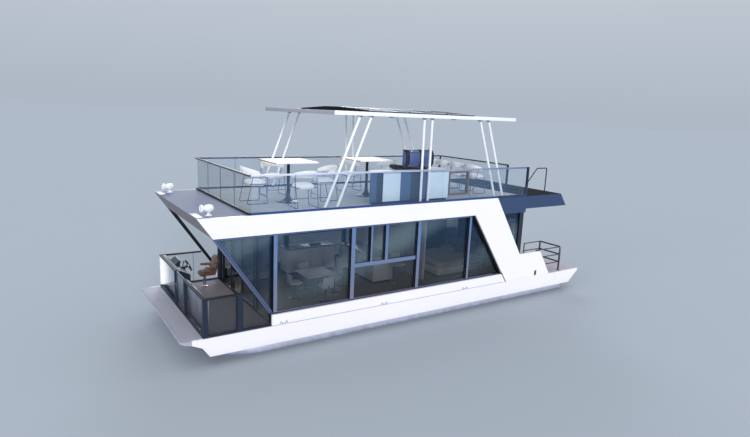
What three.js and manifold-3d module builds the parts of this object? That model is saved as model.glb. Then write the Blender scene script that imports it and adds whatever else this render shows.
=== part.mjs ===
// A two-deck houseboat on two round pontoons, 14.6 m long and 4.5 m wide.
// Millimetres: +X is the bow, +Y is port, +Z is up, and Z = 0 is the pontoons' lowest line.
import * as THREE from "three";
import { mergeVertices } from "three/addons/utils/BufferGeometryUtils.js";
import Module from "manifold-3d";

// Driving dimensions
const GAP = 0.3; // between pieces that rest on each other
const SLIVER = 0.05; // stray points closer than this to a face's plane are dropped after a join or cut
const HALF_BEAM = 2250;
const BOW_TIP_X = 7250;
const STERN_TIP_X = -7330;
const DECK_Z = 1350;
const DECK_THICK = 60;
const ROOF_Z = 4260; // the upper deck
const SOFFIT_Z = 3756; // the upper deck's underside
const SKIN = 70; // thickness of the white side panels
const FRAME_DEEP = 70; // depth of the slate window frames
const BULWARK_Z = 2246;
const SILL_Z = 1648;
const SEAM_Z = 1364; // open seam between hull side and superstructure
const HULL_BOTTOM_Z = 874; // lower edge of the hull's side panels
const TERRACE_RAIL_Z = 2334;
const UPPER_RAIL_Z = 5232;
const RAIL_FRONT_X = 5594; // the upper balustrade's bow end
const RAIL_AFT_X = -4045; // and its stern end
const TERRACE_FRONT_X = 6719;
const CABIN_AFT_X = -4130;
const PANE = 12; // thickness of the glass
const CANOPY_Z = 6680;

// Each material's colour, roughness, metalness and opacity
const finishes = {
  white: [0xf2f2f6, 0.25, 0, 1],
  slate: [0x3d475a, 0.4, 0.3, 1],
  deckGrey: [0x9a98a6, 0.7, 0, 1],
  terrace: [0x8a817e, 0.8, 0, 1],
  upperFloor: [0xb4b6b8, 0.8, 0, 1],
  glass: [0x5a6f80, 0.05, 0, 0.35],
  alloy: [0xb8bcc0, 0.35, 1, 1],
  steel: [0xd8dadc, 0.2, 1, 1],
  leather: [0x6a4632, 0.55, 0, 1],
  navy: [0x1c2438, 0.25, 0.4, 1],
  solar: [0x14161c, 0.2, 0, 1],
  dark: [0x22252b, 0.5, 0.2, 1],
  panel: [0xa9bccd, 0.35, 0, 1],
  interior: [0xe4e2de, 0.5, 0, 1],
};
const materials = Object.fromEntries(
  Object.entries(finishes).map(([name, [color, roughness, metalness, opacity]]) => [
    name,
    new THREE.MeshStandardMaterial({
      name, color, roughness, metalness, opacity, transparent: opacity < 1,
    }),
  ]),
);

// Solid modelling helpers
const wasm = await Module();
wasm.setup();

function toSolid(geometry) {
  const bare = geometry.clone();
  Object.keys(bare.attributes)
    .filter((key) => key !== "position")
    .forEach((key) => bare.deleteAttribute(key));
  const merged = mergeVertices(bare, 1e-3);
  return new wasm.Manifold(
    new wasm.Mesh({
      numProp: 3,
      vertProperties: new Float32Array(merged.attributes.position.array),
      triVerts: new Uint32Array(merged.index.array),
    }),
  );
}

function toGeometry(solid) {
  const mesh = solid.simplify(SLIVER).getMesh();
  const geometry = new THREE.BufferGeometry();
  geometry.setAttribute("position", new THREE.BufferAttribute(mesh.vertProperties, 3));
  geometry.setIndex(new THREE.BufferAttribute(mesh.triVerts, 1));
  geometry.computeVertexNormals();
  return geometry;
}

const join = (...parts) =>
  toGeometry(parts.flat().map(toSolid).reduce((whole, part) => whole.add(part)));

const cut = (body, ...tools) =>
  toGeometry(tools.flat().map(toSolid).reduce((rest, tool) => rest.subtract(tool), toSolid(body)));

const common = (a, b) => toGeometry(toSolid(a).intersect(toSolid(b)));

// A box from its lowest to its highest corner
function block([x0, y0, z0], [x1, y1, z1]) {
  const box = new THREE.BoxGeometry(x1 - x0, y1 - y0, z1 - z0);
  return box.translate((x0 + x1) / 2, (y0 + y1) / 2, (z0 + z1) / 2);
}

const outline = (points) => new THREE.Shape(points.map(([u, v]) => new THREE.Vector2(u, v)));

function extrude(points, depth) {
  return new THREE.ExtrudeGeometry(outline(points), { depth, bevelEnabled: false, curveSegments: 12 });
}

// An outline drawn in X and Z, made solid from y0 to y1
const sidePlate = (points, y0, y1) =>
  extrude(points, y1 - y0).rotateX(Math.PI / 2).translate(0, y1, 0);

// An outline drawn in Y and Z, made solid from x0 to x1
const crossPlate = (points, x0, x1) =>
  extrude(points, x1 - x0)
    .applyMatrix4(new THREE.Matrix4().set(0, 0, 1, 0, 1, 0, 0, 0, 0, 1, 0, 0, 0, 0, 0, 1))
    .translate(x0, 0, 0);

// An outline drawn in X and Y, made solid from z0 to z1
const planPlate = (points, z0, z1) => extrude(points, z1 - z0).translate(0, 0, z0);

// The convex body around a list of points
const wrap = (points) => toGeometry(wasm.Manifold.hull(points));

// A straight round bar between two points
function bar(from, to, radius, sides = 6) {
  const start = new THREE.Vector3(...from);
  const run = new THREE.Vector3(...to).sub(start);
  const turn = new THREE.Quaternion().setFromUnitVectors(
    new THREE.Vector3(0, 1, 0),
    run.clone().normalize(),
  );
  const middle = start.addScaledVector(run, 0.5);
  return new THREE.CylinderGeometry(radius, radius, run.length(), sides)
    .applyQuaternion(turn)
    .translate(middle.x, middle.y, middle.z);
}

// Bars through a list of points, each running on a little past its corner
function rail(points, radius, sides = 6) {
  return points.slice(1).map((point, i) => {
    const from = new THREE.Vector3(...points[i]);
    const to = new THREE.Vector3(...point);
    const past = to.clone().sub(from).setLength(radius * 0.9);
    return bar(from.sub(past).toArray(), to.add(past).toArray(), radius, sides);
  });
}

// A turned piece: its profile gives radius and height, and its axis is +Z
const turned = (profile, sides = 24) =>
  new THREE.LatheGeometry(profile.map(([r, h]) => new THREE.Vector2(r, h)), sides)
    .rotateX(Math.PI / 2);

// The same geometry on the other side of the boat, with its faces turned back outwards
function toSide(geometry, sign) {
  if (sign > 0) return geometry;
  const flipped = mergeVertices(geometry).scale(1, -1, 1);
  const index = flipped.index;
  for (let i = 0; i < index.count; i += 3) {
    const second = index.getX(i + 1);
    index.setX(i + 1, index.getX(i + 2));
    index.setX(i + 2, second);
  }
  return flipped;
}

const boat = new THREE.Group();
const sides = [["port", 1], ["starboard", -1]];

function add(name, geometry, finish, parent = boat) {
  const mesh = new THREE.Mesh(geometry, materials[finish]);
  mesh.name = name;
  parent.add(mesh);
  return mesh;
}

function groupAt(x, y, z) {
  const group = new THREE.Group();
  group.position.set(x, y, z);
  boat.add(group);
  return group;
}

// Hull: two pontoons, the frame over them and the decks
const pontoon = { radius: 550, y: 1450, aft: -6762, shoulder: 5000, tip: 6250, lift: 0.62, sides: 24 };

function makePontoon(name, sign) {
  const { radius, aft, shoulder, tip, lift } = pontoon;
  const outer = radius / Math.cos(Math.PI / pontoon.sides); // corner radius of the section
  const taper = [0, 0.3, 0.55, 0.75, 0.9].map((t) =>
    [outer * Math.sqrt(1 - t ** 1.7), shoulder + (tip - shoulder) * t]);
  const profile = [[0, aft], [outer * 0.93, aft], [outer, aft + 60], ...taper, [0, tip]];
  const tube = new THREE.LatheGeometry(profile.map(([r, h]) => new THREE.Vector2(r, h)), pontoon.sides);
  tube.rotateY(Math.PI / pontoon.sides).rotateZ(-Math.PI / 2);
  const places = tube.attributes.position;
  for (let i = 0; i < places.count; i++) {
    const along = Math.max(0, (places.getX(i) - shoulder) / (tip - shoulder));
    places.setZ(i, places.getZ(i) + lift * radius * along ** 1.7);
  }
  add(name, tube.translate(0, sign * pontoon.y, radius), "alloy");
}

const beams = { wide: 80, low: 1170, first: -6600, step: 1170, count: 12, reach: HALF_BEAM - 60 - GAP };

function makeUnderdeck() {
  const top = DECK_Z - DECK_THICK - GAP;
  const runners = sides.map(([, sign]) => [
    block(
      [-6700, sign * pontoon.y - 60, 2 * pontoon.radius + GAP],
      [pontoon.shoulder, sign * pontoon.y + 60, top],
    ),
    block([4900, sign * pontoon.y - 60, beams.low], [6560, sign * pontoon.y + 60, top]),
  ]);
  const cross = Array.from({ length: beams.count }, (_, i) => {
    const x = beams.first + beams.step * i;
    return block([x - beams.wide / 2, -beams.reach, beams.low], [x + beams.wide / 2, beams.reach, top]);
  });
  add("underdeck_frame", join(runners.flat(), cross), "alloy");
}

const hullSkin = 60;
const noseX = 6995; // where the hull's side panels end and the platform takes the full beam
const nose = { low: 1240, edge: 55, chamfer: 100 };
const bowRake = [[noseX, nose.low], [6748, 1126], [6570, HULL_BOTTOM_Z]]; // X and Z down the bow's raked edge
const sternRake = [-6850, HULL_BOTTOM_Z];
const sternTip = [[STERN_TIP_X, DECK_Z], [STERN_TIP_X, DECK_Z - 55]];

function makeHull() {
  const deckLow = DECK_Z - DECK_THICK;
  const inner = HALF_BEAM - hullSkin - GAP;
  const side = [...sternTip, sternRake, ...bowRake.toReversed(), [noseX, DECK_Z]];
  for (const [name, sign] of sides) {
    const plate = sidePlate(side, HALF_BEAM - hullSkin, HALF_BEAM);
    add("hull_side_" + name, toSide(plate, sign), "white");
  }
  const bowStart = TERRACE_FRONT_X + 6;
  const underside = sidePlate([
    [bowStart, DECK_Z], [bowStart, deckLow], [6700, 1180], [6650, 1110], [6500, HULL_BOTTOM_Z],
    ...bowRake.toReversed(), [noseX + 20, nose.low + 5], [noseX + 20, DECK_Z],
  ], -inner, inner);
  const full = sidePlate([
    [noseX + GAP, nose.low], [BOW_TIP_X, DECK_Z - nose.edge], [BOW_TIP_X, DECK_Z], [noseX + GAP, DECK_Z],
  ], -HALF_BEAM, HALF_BEAM);
  const corner = planPlate([
    [BOW_TIP_X - nose.chamfer, HALF_BEAM + 1], [BOW_TIP_X + 1, HALF_BEAM - nose.chamfer],
    [BOW_TIP_X + 50, HALF_BEAM + 50],
  ], 1000, 1500);
  add("bow_platform", join(underside, cut(full, corner, toSide(corner, -1))), "deckGrey");
  const deck = block([CABIN_AFT_X, -inner, deckLow], [bowStart - GAP, inner, DECK_Z]);
  add("main_deck", deck, "terrace");
  add("stern_platform", sidePlate([
    [CABIN_AFT_X - GAP, deckLow], [CABIN_AFT_X - GAP, DECK_Z], ...sternTip,
    sternRake, [-6780, HULL_BOTTOM_Z], [-7110, 1225], [-7000, deckLow],
  ], -inner, inner), "terrace");
}

// Superstructure: the white ribbons, the decks over the cabin and the window frames
const band = { topX: -2758, footX: -4043, innerTopX: -1829, innerFootX: -3269 };
const bow = { roofX: 6818, soffitX: 6460 };
const bulwark = { topX: -5096, footX: -5676 };
const sillFrontX = 4990;
const fasciaLowZ = { cabin: 3710, overhang: 3830 };
const aftRoof = { topX: -5892, soffitX: -6214 };
const hatch = { x0: -5160, x1: -4260, y0: -520, y1: 1120 };

const bandOuterX = (z) => band.topX + ((ROOF_Z - z) / (ROOF_Z - BULWARK_Z)) * (band.footX - band.topX);
const bandOuterZ = (x) => ROOF_Z - ((x - band.topX) / (band.footX - band.topX)) * (ROOF_Z - BULWARK_Z);
const bandInnerX = (z) =>
  band.innerTopX + ((SOFFIT_Z - z) / (SOFFIT_Z - SILL_Z)) * (band.innerFootX - band.innerTopX);

function makeShells() {
  const outside = [
    [bow.soffitX, SOFFIT_Z], [bow.roofX, ROOF_Z], [band.topX, ROOF_Z], [band.footX, BULWARK_Z],
    [bulwark.topX, BULWARK_Z], [bulwark.footX, SEAM_Z], [sillFrontX, SEAM_Z], [sillFrontX, SILL_Z],
    [band.innerFootX, SILL_Z], [band.innerTopX, SOFFIT_Z],
  ];
  const slotWide = 26;
  const slot = sidePlate([
    [bandInnerX(SILL_Z + 40), SILL_Z + 40], [bandInnerX(SEAM_Z - 30), SEAM_Z - 30],
    [bandInnerX(SEAM_Z - 30) + slotWide, SEAM_Z - 30], [bandInnerX(SILL_Z + 40) + slotWide, SILL_Z + 40],
  ], HALF_BEAM - 35, HALF_BEAM + 35);
  for (const [name, sign] of sides) {
    const plate = cut(sidePlate(outside, HALF_BEAM - SKIN, HALF_BEAM), slot);
    add("side_ribbon_" + name, toSide(plate, sign), "white");
  }
}

const innerY = HALF_BEAM - SKIN - GAP; // outermost line of what lies inside the ribbons

function makeRoofs() {
  add("upper_deck", sidePlate([
    [band.topX + GAP, SOFFIT_Z], [bow.soffitX, SOFFIT_Z], [bow.roofX, ROOF_Z], [band.topX + GAP, ROOF_Z],
  ], -innerY, innerY), "deckGrey");

  const slabEdge = CABIN_AFT_X - GAP;
  const slab = sidePlate([
    [band.topX, SOFFIT_Z], [band.topX, ROOF_Z], [aftRoof.topX, ROOF_Z],
    [aftRoof.soffitX, fasciaLowZ.overhang], [slabEdge, fasciaLowZ.overhang], [slabEdge, SOFFIT_Z],
  ], -innerY, innerY);
  const lap = 1; // the fascia stands this far clear of the ribbon's slanted edge
  const upper = sidePlate([
    [bandOuterX(ROOF_Z) - lap, ROOF_Z], [aftRoof.topX, ROOF_Z], [aftRoof.soffitX, fasciaLowZ.overhang],
    [slabEdge, fasciaLowZ.overhang], [slabEdge, SOFFIT_Z], [bandOuterX(SOFFIT_Z) - lap, SOFFIT_Z],
  ], innerY - 30, HALF_BEAM - 6);
  const lip = sidePlate([
    [bandOuterX(SOFFIT_Z + 5) - lap, SOFFIT_Z + 5], [slabEdge, SOFFIT_Z + 5],
    [slabEdge, fasciaLowZ.cabin], [bandOuterX(fasciaLowZ.cabin) - lap, fasciaLowZ.cabin],
  ], innerY + GAP, HALF_BEAM - 6);
  const edges = sides.map(([, sign]) => [toSide(upper, sign), toSide(lip, sign)]).flat();
  const opening = block([hatch.x0, hatch.y0, SOFFIT_Z - 50], [hatch.x1, hatch.y1, ROOF_Z + 50]);
  add("aft_roof", cut(join(slab, edges), opening), "slate");
}

const frame = { out: innerY, in: innerY - FRAME_DEEP, low: 1690, high: 3700 };
// Each full-height bar's bow and stern face
const mullions = [[4931, 4830], [2710, 2540], [438, 275], [-1600, -1750]];
const transom = { low: 2575, high: 2690 };
const sashBars = [[2090, 1977], [1590, 1443]]; // upper bars between the transom and the head
const brace = { headX: 6465, headInX: 6341, footX: 5036, footInX: 4939, footZ: 1684 };
const braceRun = (z) => (z - brace.footZ) / (SOFFIT_Z - brace.footZ);
const braceInX = (z) => brace.footInX + braceRun(z) * (brace.headInX - brace.footInX);
const braceOutX = (z) => brace.footX + braceRun(z) * (brace.headX - brace.footX);
const braceInZ = (x) =>
  brace.footZ + ((x - brace.footInX) / (brace.headInX - brace.footInX)) * (SOFFIT_Z - brace.footZ);
const cornerPost = { bow: -3950, stern: CABIN_AFT_X };

function makeWindowFrames() {
  const low = DECK_Z + GAP;
  const high = SOFFIT_Z - GAP;
  const body = sidePlate([
    [cornerPost.stern, low], [sillFrontX - 5, low], [sillFrontX - 5, brace.footZ],
    [brace.footX, brace.footZ], [brace.headX, high], [cornerPost.stern, high],
  ], frame.in, frame.out);
  const [m1, m2, m5, m6] = mullions;
  const [m3, m4] = sashBars;
  const slantLap = 30;
  const rect = (x0, x1, z0, z1) => [[x0, z0], [x1, z0], [x1, z1], [x0, z1]];
  const holes = [
    [[m1[0], Math.max(frame.low, braceInZ(m1[0]))], [braceInX(frame.high), frame.high], [m1[0], frame.high]],
    rect(m2[0], m1[1], frame.low, frame.high),
    rect(m5[0], m2[1], frame.low, transom.low),
    rect(m3[0], m2[1], transom.high, frame.high),
    rect(m4[0], m3[1], transom.high, frame.high),
    rect(m5[0], m4[1], transom.high, frame.high),
    rect(m6[0], m5[1], frame.low, frame.high),
    [[bandInnerX(frame.low) + slantLap, frame.low], [m6[1], frame.low], [m6[1], frame.high],
      [Math.min(m6[1] - 1, bandInnerX(frame.high) + slantLap), frame.high]],
    [[cornerPost.bow, frame.high], [cornerPost.bow, bandOuterZ(cornerPost.bow) + 60],
      [bandOuterX(frame.high) - slantLap, frame.high]],
  ].map((points) => sidePlate(points, frame.in - 50, frame.out + 50));
  const lattice = cut(body, holes);
  const sheet = sidePlate([
    [cornerPost.bow - 40, low + 60], [sillFrontX - 40, low + 60], [sillFrontX - 40, brace.footZ],
    [braceInX(frame.high) + 50, frame.high + 25], [cornerPost.bow - 40, frame.high + 25],
  ], frame.in - GAP - PANE, frame.in - GAP);
  for (const [name, sign] of sides) {
    add("window_frame_" + name, toSide(lattice, sign), "slate");
    add("window_glass_" + name, toSide(sheet, sign), "glass");
  }
}

const wallY = frame.in - GAP - PANE - GAP; // end walls run between the side panes

// A pane that fills a frame's opening, in the middle of the frame's depth
const paneIn = (deep, [y0, y1], [z0, z1]) =>
  block([deep / 2 - PANE / 2, y0 + GAP, z0 + GAP], [deep / 2 + PANE / 2, y1 - GAP, z1 - GAP]);

// Cabin's front: fixed side lights and two sliding door leaves
const front = { x0: 4850, x1: 4920, trackX: 4990, track: 38, head: 3700, mullions: [930, 1840], bar: 60 };
const leaf = { x0: 4938, x1: 4976, wide: 960, stile: 60, run: 900, play: 0.5 };

function makeFrontWall() {
  const low = DECK_Z + GAP;
  const high = SOFFIT_Z - GAP;
  const wall = block([front.x0, -wallY, low], [front.x1, wallY, high]);
  const [inner, outer] = front.mullions;
  const z0 = low + front.track;
  const sideLights = [[inner + front.bar, outer], [outer + front.bar, wallY - 50]];
  const holes = [
    block([0, -inner, z0], [9000, inner, front.head]),
    ...sides.flatMap(([, sign]) => sideLights.map(([a, b]) =>
      block([0, Math.min(sign * a, sign * b), z0], [9000, Math.max(sign * a, sign * b), front.head]))),
  ];
  const tracks = [[low, z0], [front.head, high]].map(([a, b]) =>
    block([front.x0, -wallY, a], [front.trackX - 10, wallY, b]));
  add("front_frame", join(cut(wall, holes), tracks), "slate");
  for (const [name, sign] of sides) {
    const pane = block(
      [front.x0 - PANE - GAP, inner + 15, z0 - 20],
      [front.x0 - GAP, wallY - 20, front.head + 20],
    );
    add("front_glass_" + name, toSide(pane, sign), "glass");
    const door = new THREE.Group();
    door.position.set(leaf.x0, sign * 1, z0 + leaf.play);
    boat.add(door);
    const tall = front.head - z0 - 2 * leaf.play;
    const deep = leaf.x1 - leaf.x0;
    const ring = cut(
      block([0, 0, 0], [deep, leaf.wide, tall]),
      block([-50, leaf.stile, leaf.stile], [deep + 50, leaf.wide - leaf.stile, tall - leaf.stile]),
    );
    const light = paneIn(deep, [leaf.stile, leaf.wide - leaf.stile], [leaf.stile, tall - leaf.stile]);
    add("door_leaf_" + name, toSide(ring, sign), "slate", door);
    add("door_glass_" + name, toSide(light, sign), "glass", door);
  }
}

// Cabin's aft wall, with a window and a hinged door
const aft = {
  x0: CABIN_AFT_X, x1: CABIN_AFT_X + 70, door: [-1750, -900], doorTop: 3400, window: [500, 1900], sill: 2200,
};

function makeAftWall() {
  const low = DECK_Z + GAP;
  const wall = cut(
    block([aft.x0, -wallY, low], [aft.x1, wallY, SOFFIT_Z - GAP]),
    block([aft.x0 - 50, aft.door[0], low + 30], [aft.x1 + 50, aft.door[1], aft.doorTop]),
    block([aft.x0 - 50, aft.window[0], aft.sill], [aft.x1 + 50, aft.window[1], aft.doorTop]),
  );
  add("aft_wall", wall, "slate");
  add("aft_glass", block(
    [aft.x1 + GAP, aft.window[0] - 30, aft.sill - 30],
    [aft.x1 + GAP + PANE, aft.window[1] + 30, aft.doorTop + 30],
  ), "glass");
  const play = 6;
  const wide = aft.door[1] - aft.door[0] - 2 * play;
  const tall = aft.doorTop - low - 30 - 2 * play;
  const door = groupAt(aft.x0, aft.door[0] + play, low + 30 + play);
  const stile = 80;
  const kick = 150;
  const deep = 45;
  const ring = cut(
    block([0, 0, 0], [deep, wide, tall]),
    block([-50, stile, kick], [deep + 50, wide - stile, tall - stile]),
  );
  const knuckles = [100, tall - 200].map((z) => block([0, GAP - play, z], [20, 5, z + 100]));
  add("aft_door", join(ring, knuckles), "slate", door);
  add("aft_door_glass", paneIn(deep, [stile, wide - stile], [kick, tall - stile]), "glass", door);
}

// Stair from the stern deck to the upper deck, rising to port
const stair = { x0: -5110, x1: -4310, footY: -430, topY: 1080, stringer: 35, deep: 190, treads: 11 };

function makeStair() {
  const low = DECK_Z + GAP;
  const slope = (ROOF_Z - low) / (stair.topY - stair.footY);
  const cheek = [
    [stair.footY, low], [stair.footY + stair.deep, low],
    [stair.topY + 30, ROOF_Z - stair.deep * slope * 0.7],
    [stair.topY + 30, ROOF_Z], [stair.topY - 40, ROOF_Z],
  ];
  const cheeks = [stair.x0, stair.x1 - stair.stringer].map((x) => crossPlate(cheek, x, x + stair.stringer));
  const treads = Array.from({ length: stair.treads }, (_, i) => {
    const part = (i + 1) / (stair.treads + 1);
    const y = stair.footY + part * (stair.topY - stair.footY) + 5;
    const z = low + part * (ROOF_Z - low);
    return block([stair.x0 + 5, y, z - 32], [stair.x1 - 5, Math.min(y + stair.deep, stair.topY + 30), z]);
  });
  add("stair", join(cheeks, treads), "slate");
}

// Railings of round bar
const handrail = { y: 2065, foreX: -4300, aftX: -5208, z: 5160, r: 19 };
const sternRail = { x: -6400, y: 2080, innerY: 1150, foreX: -5515, z: 2236, rows: [0.36, 0.68, 1] };
const tube = { post: 28, run: 14 };

function makeRailings() {
  const foot = ROOF_Z + GAP;
  const flange = (x, y, z, r) => bar([x, y, z], [x, y, z + 12], r, 12);
  add("stair_rail", join(
    rail([
      [handrail.foreX, handrail.y, foot + 20], [handrail.foreX, handrail.y, 4707],
      [-4711, handrail.y, handrail.z], [handrail.aftX, handrail.y, handrail.z],
      [handrail.aftX, handrail.y, foot + 20],
    ], handrail.r),
    flange(handrail.foreX, handrail.y, foot, 40),
    flange(handrail.aftX, handrail.y, foot, 40),
  ), "dark");
  const { x, y, innerY, foreX, z, rows } = sternRail;
  const base = DECK_Z + GAP;
  const plateY = HALF_BEAM - SKIN - GAP;
  const bulwarkX = (h) =>
    bulwark.footX + ((h - SEAM_Z) / (BULWARK_Z - SEAM_Z)) * (bulwark.topX - bulwark.footX);
  for (const [name, sign] of sides) {
    const posts = [[x, y], [x, innerY]].flatMap(([px, py]) => [
      bar([px, py, base], [px, py, z + tube.run], tube.post, 10),
      flange(px, py, base, 55),
    ]);
    const end = bar([foreX, innerY, base], [foreX, innerY, z + tube.run], tube.run, 8);
    const runs = rows.flatMap((share) => {
      const h = base + share * (z - base);
      const hold = bulwarkX(h) + 60;
      return [
        bar([x, innerY, h], [foreX, innerY, h], tube.run),
        bar([x, y, h], [x, innerY, h], tube.post - 6),
        bar([x, y, h], [hold + tube.run, y, h], tube.run),
        bar([hold, y, h], [hold, plateY, h], tube.run),
      ];
    });
    add("stern_rail_" + name, toSide(join(posts, end, flange(foreX, innerY, base, 42), runs), sign), "steel");
  }
}

// Bow terrace: glazed balustrade with a gate
const terrace = { post: 88, railDeep: 70, railHigh: 46, base: 46, gate: [-405, 470], side: HALF_BEAM - 30 };
const terraceCorner = { x0: 6602, midX: [5735, 5885] };

function makeTerraceRail() {
  const low = DECK_Z + GAP;
  const { post, railDeep, railHigh, base, gate, side } = terrace;
  const x1 = TERRACE_FRONT_X;
  const top = TERRACE_RAIL_Z;
  const reach = gate.map((y) => Math.abs(y));
  for (const [name, sign] of sides) {
    const gateY = name === "port" ? reach[1] : reach[0];
    const pieces = [
      block([terraceCorner.x0, side - post, low], [x1, side, top]),
      block([x1 - post, gateY, low], [x1, gateY + 60, top]),
      block([x1 - railDeep, gateY, top - railHigh], [x1, side, top]),
      block([x1 - railDeep, gateY, low], [x1, side, low + base]),
      block([braceOutX(top) + 6, side - railDeep, top - railHigh], [x1, side, top]),
      block([sillFrontX + 6, side - railDeep, low], [x1, side, low + base]),
    ];
    const middle = block([terraceCorner.midX[0], side - post, low], [terraceCorner.midX[1], side, top]);
    if (name === "port") pieces.push(middle);
    add("terrace_rail_" + name, toSide(join(pieces), sign), "slate");
    const inner = side - post - GAP;
    const glassX = x1 - post - GAP;
    const flank = sidePlate([
      [brace.footX + 10, low + 20], [glassX, low + 20], [glassX, top - 10], [braceOutX(top) + 10, top - 10],
      [brace.footX + 10, brace.footZ],
    ], inner - PANE, inner);
    const face = block([glassX - PANE, gateY + 5, low + 20], [glassX, inner, top - 10]);
    add("terrace_glass_" + name, toSide(join(flank, face), sign), "glass");
  }
}

const gate = { play: 6, deep: 40, stile: 45 };

function makeGate() {
  const [starboardY, portY] = terrace.gate;
  const wide = portY - starboardY - 2 * gate.play;
  const tall = TERRACE_RAIL_Z - DECK_Z - 70;
  const hinge = groupAt(TERRACE_FRONT_X - 70, portY - gate.play, DECK_Z + 50);
  const ring = cut(
    block([0, -wide, 0], [gate.deep, 0, tall]),
    block([-50, -wide + gate.stile, gate.stile], [gate.deep + 50, -gate.stile, tall - gate.stile]),
  );
  const knuckles = [80, tall - 160].map((z) => block([0, -5, z], [20, gate.play - GAP, z + 80]));
  add("gate_frame", join(ring, knuckles), "slate", hinge);
  const pane = paneIn(gate.deep, [-wide + gate.stile, -gate.stile], [gate.stile, tall - gate.stile]);
  add("gate_glass", pane, "glass", hinge);
}

// Helm: console, wheel and seat
const helm = { x0: 6230, x1: 6600, y0: -2080, y1: -640, dashZ: 2080, topZ: 2230 };
const dashRise = (helm.topZ - helm.dashZ) / (helm.x1 - 90 - helm.x0);
const wheel = { x: 6022, y: -1645, z: 2067, r: 180, rim: 15, tilt: 25, column: 300 };
const hood = {
  y: [-1920, -1370], section: [[6500, 2190], [6345, 2322], [6312, 2312], [6350, 2090], [6500, 2150]],
};
const lever = { x: 6290, y: -1275, long: 150, r: 14 };
const seat = { x: 5549, y: -1645, padZ: 1860, deep: 150, wide: 480 };

function makeHelm() {
  const low = DECK_Z + GAP;
  const body = sidePlate([
    [helm.x0 + 60, low], [helm.x1, low], [helm.x1, helm.topZ], [helm.x1 - 90, helm.topZ],
    [helm.x0, helm.dashZ], [helm.x0, helm.dashZ - 160], [helm.x0 + 60, helm.dashZ - 230],
  ], helm.y0, helm.y1);
  const lean = THREE.MathUtils.degToRad(wheel.tilt);
  const axis = new THREE.Vector3(-Math.cos(lean), 0, Math.sin(lean));
  const hubAt = new THREE.Vector3(wheel.x, wheel.y, wheel.z);
  const back = hubAt.clone().addScaledVector(axis, -wheel.column);
  const seatOn = hubAt.clone().addScaledVector(axis, -20 - GAP);
  const binnacle = sidePlate(hood.section, ...hood.y);
  const dashAt = helm.dashZ + (lever.x - helm.x0) * dashRise;
  const throttle = [
    block([lever.x - 70, lever.y - 45, dashAt - 40], [lever.x + 70, lever.y + 45, dashAt + 55]),
    bar([lever.x, lever.y, dashAt + 40], [lever.x - 40, lever.y, dashAt + 40 + lever.long], lever.r, 8),
    block(
      [lever.x - 55, lever.y - 40, dashAt + 30 + lever.long],
      [lever.x - 25, lever.y + 40, dashAt + 60 + lever.long],
    ),
  ];
  const column = bar(back.toArray(), seatOn.toArray(), 40, 16);
  add("helm_console", join(body, column, binnacle, throttle), "slate");

  const turn = groupAt(...hubAt.toArray());
  turn.quaternion.setFromUnitVectors(new THREE.Vector3(0, 0, 1), axis);
  const rim = new THREE.TorusGeometry(wheel.r, wheel.rim, 6, 28);
  const hub = turned([[0, -20], [45, -20], [45, 12], [25, 28], [0, 28]], 16);
  const spokes = [0, 120, 240].map((deg) => {
    const a = THREE.MathUtils.degToRad(deg);
    return bar([0, 0, 0], [wheel.r * Math.cos(a), wheel.r * Math.sin(a), 0], 10, 6);
  });
  add("helm_wheel", join(rim, hub, spokes), "dark", turn);

  const stand = groupAt(seat.x, seat.y, low);
  const tall = seat.padZ - seat.deep - low;
  add("seat_pedestal", turned([
    [0, 0], [95, 0], [95, 12], [48, 22], [42, 40], [42, tall - 30], [110, tall - 12], [110, tall], [0, tall],
  ], 20), "steel", stand);
  const bucket = groupAt(seat.x, seat.y, seat.padZ - seat.deep + GAP);
  const halfWide = seat.wide / 2;
  const pad = sidePlate([
    [-330, 20], [-270, 0], [120, 0], [180, 40], [200, 90], [170, 135], [110, 150], [-220, 110], [-310, 110],
  ], -halfWide, halfWide);
  // The back's sections from its foot up: height, front face's X, rear face's X
  const backAt = [
    [0, -210, -320], [150, -220, -380], [300, -265, -422],
    [460, -320, -454], [545, -345, -448], [590, -370, -415],
  ];
  const slice = ([z, frontX, rearX], narrower) => sides.flatMap(([, sign]) => [
    [frontX, sign * (halfWide - 10 - narrower), z], [rearX + 45, sign * (halfWide - 15 - narrower), z],
    [rearX, sign * (halfWide - 75 - narrower), z],
  ]);
  const narrowing = [20, 0, 0, 0, 12, 55];
  const rest = backAt.slice(1).map((section, i) =>
    wrap([...slice(backAt[i], narrowing[i]), ...slice(section, narrowing[i + 1])]));
  const armrest = [[-340, 205], [40, 235], [80, 262], [40, 290], [-340, 285]];
  const arms = sides.map(([, sign]) => sidePlate(armrest, sign * 262 - 30, sign * 262 + 30));
  const links = sides.map(([, sign]) =>
    block([-360, Math.min(sign * 200, sign * 280), 200], [-300, Math.max(sign * 200, sign * 280), 290]));
  add("helm_seat", join(pad, rest, arms, links), "leather", bucket);
}

// Upper balustrade: base channel, panes and top rail
const upper = { y: 2240, base: 60, deep: 46, rail: 42, aftGapY: 1400, aftPostX: -4090 };

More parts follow.
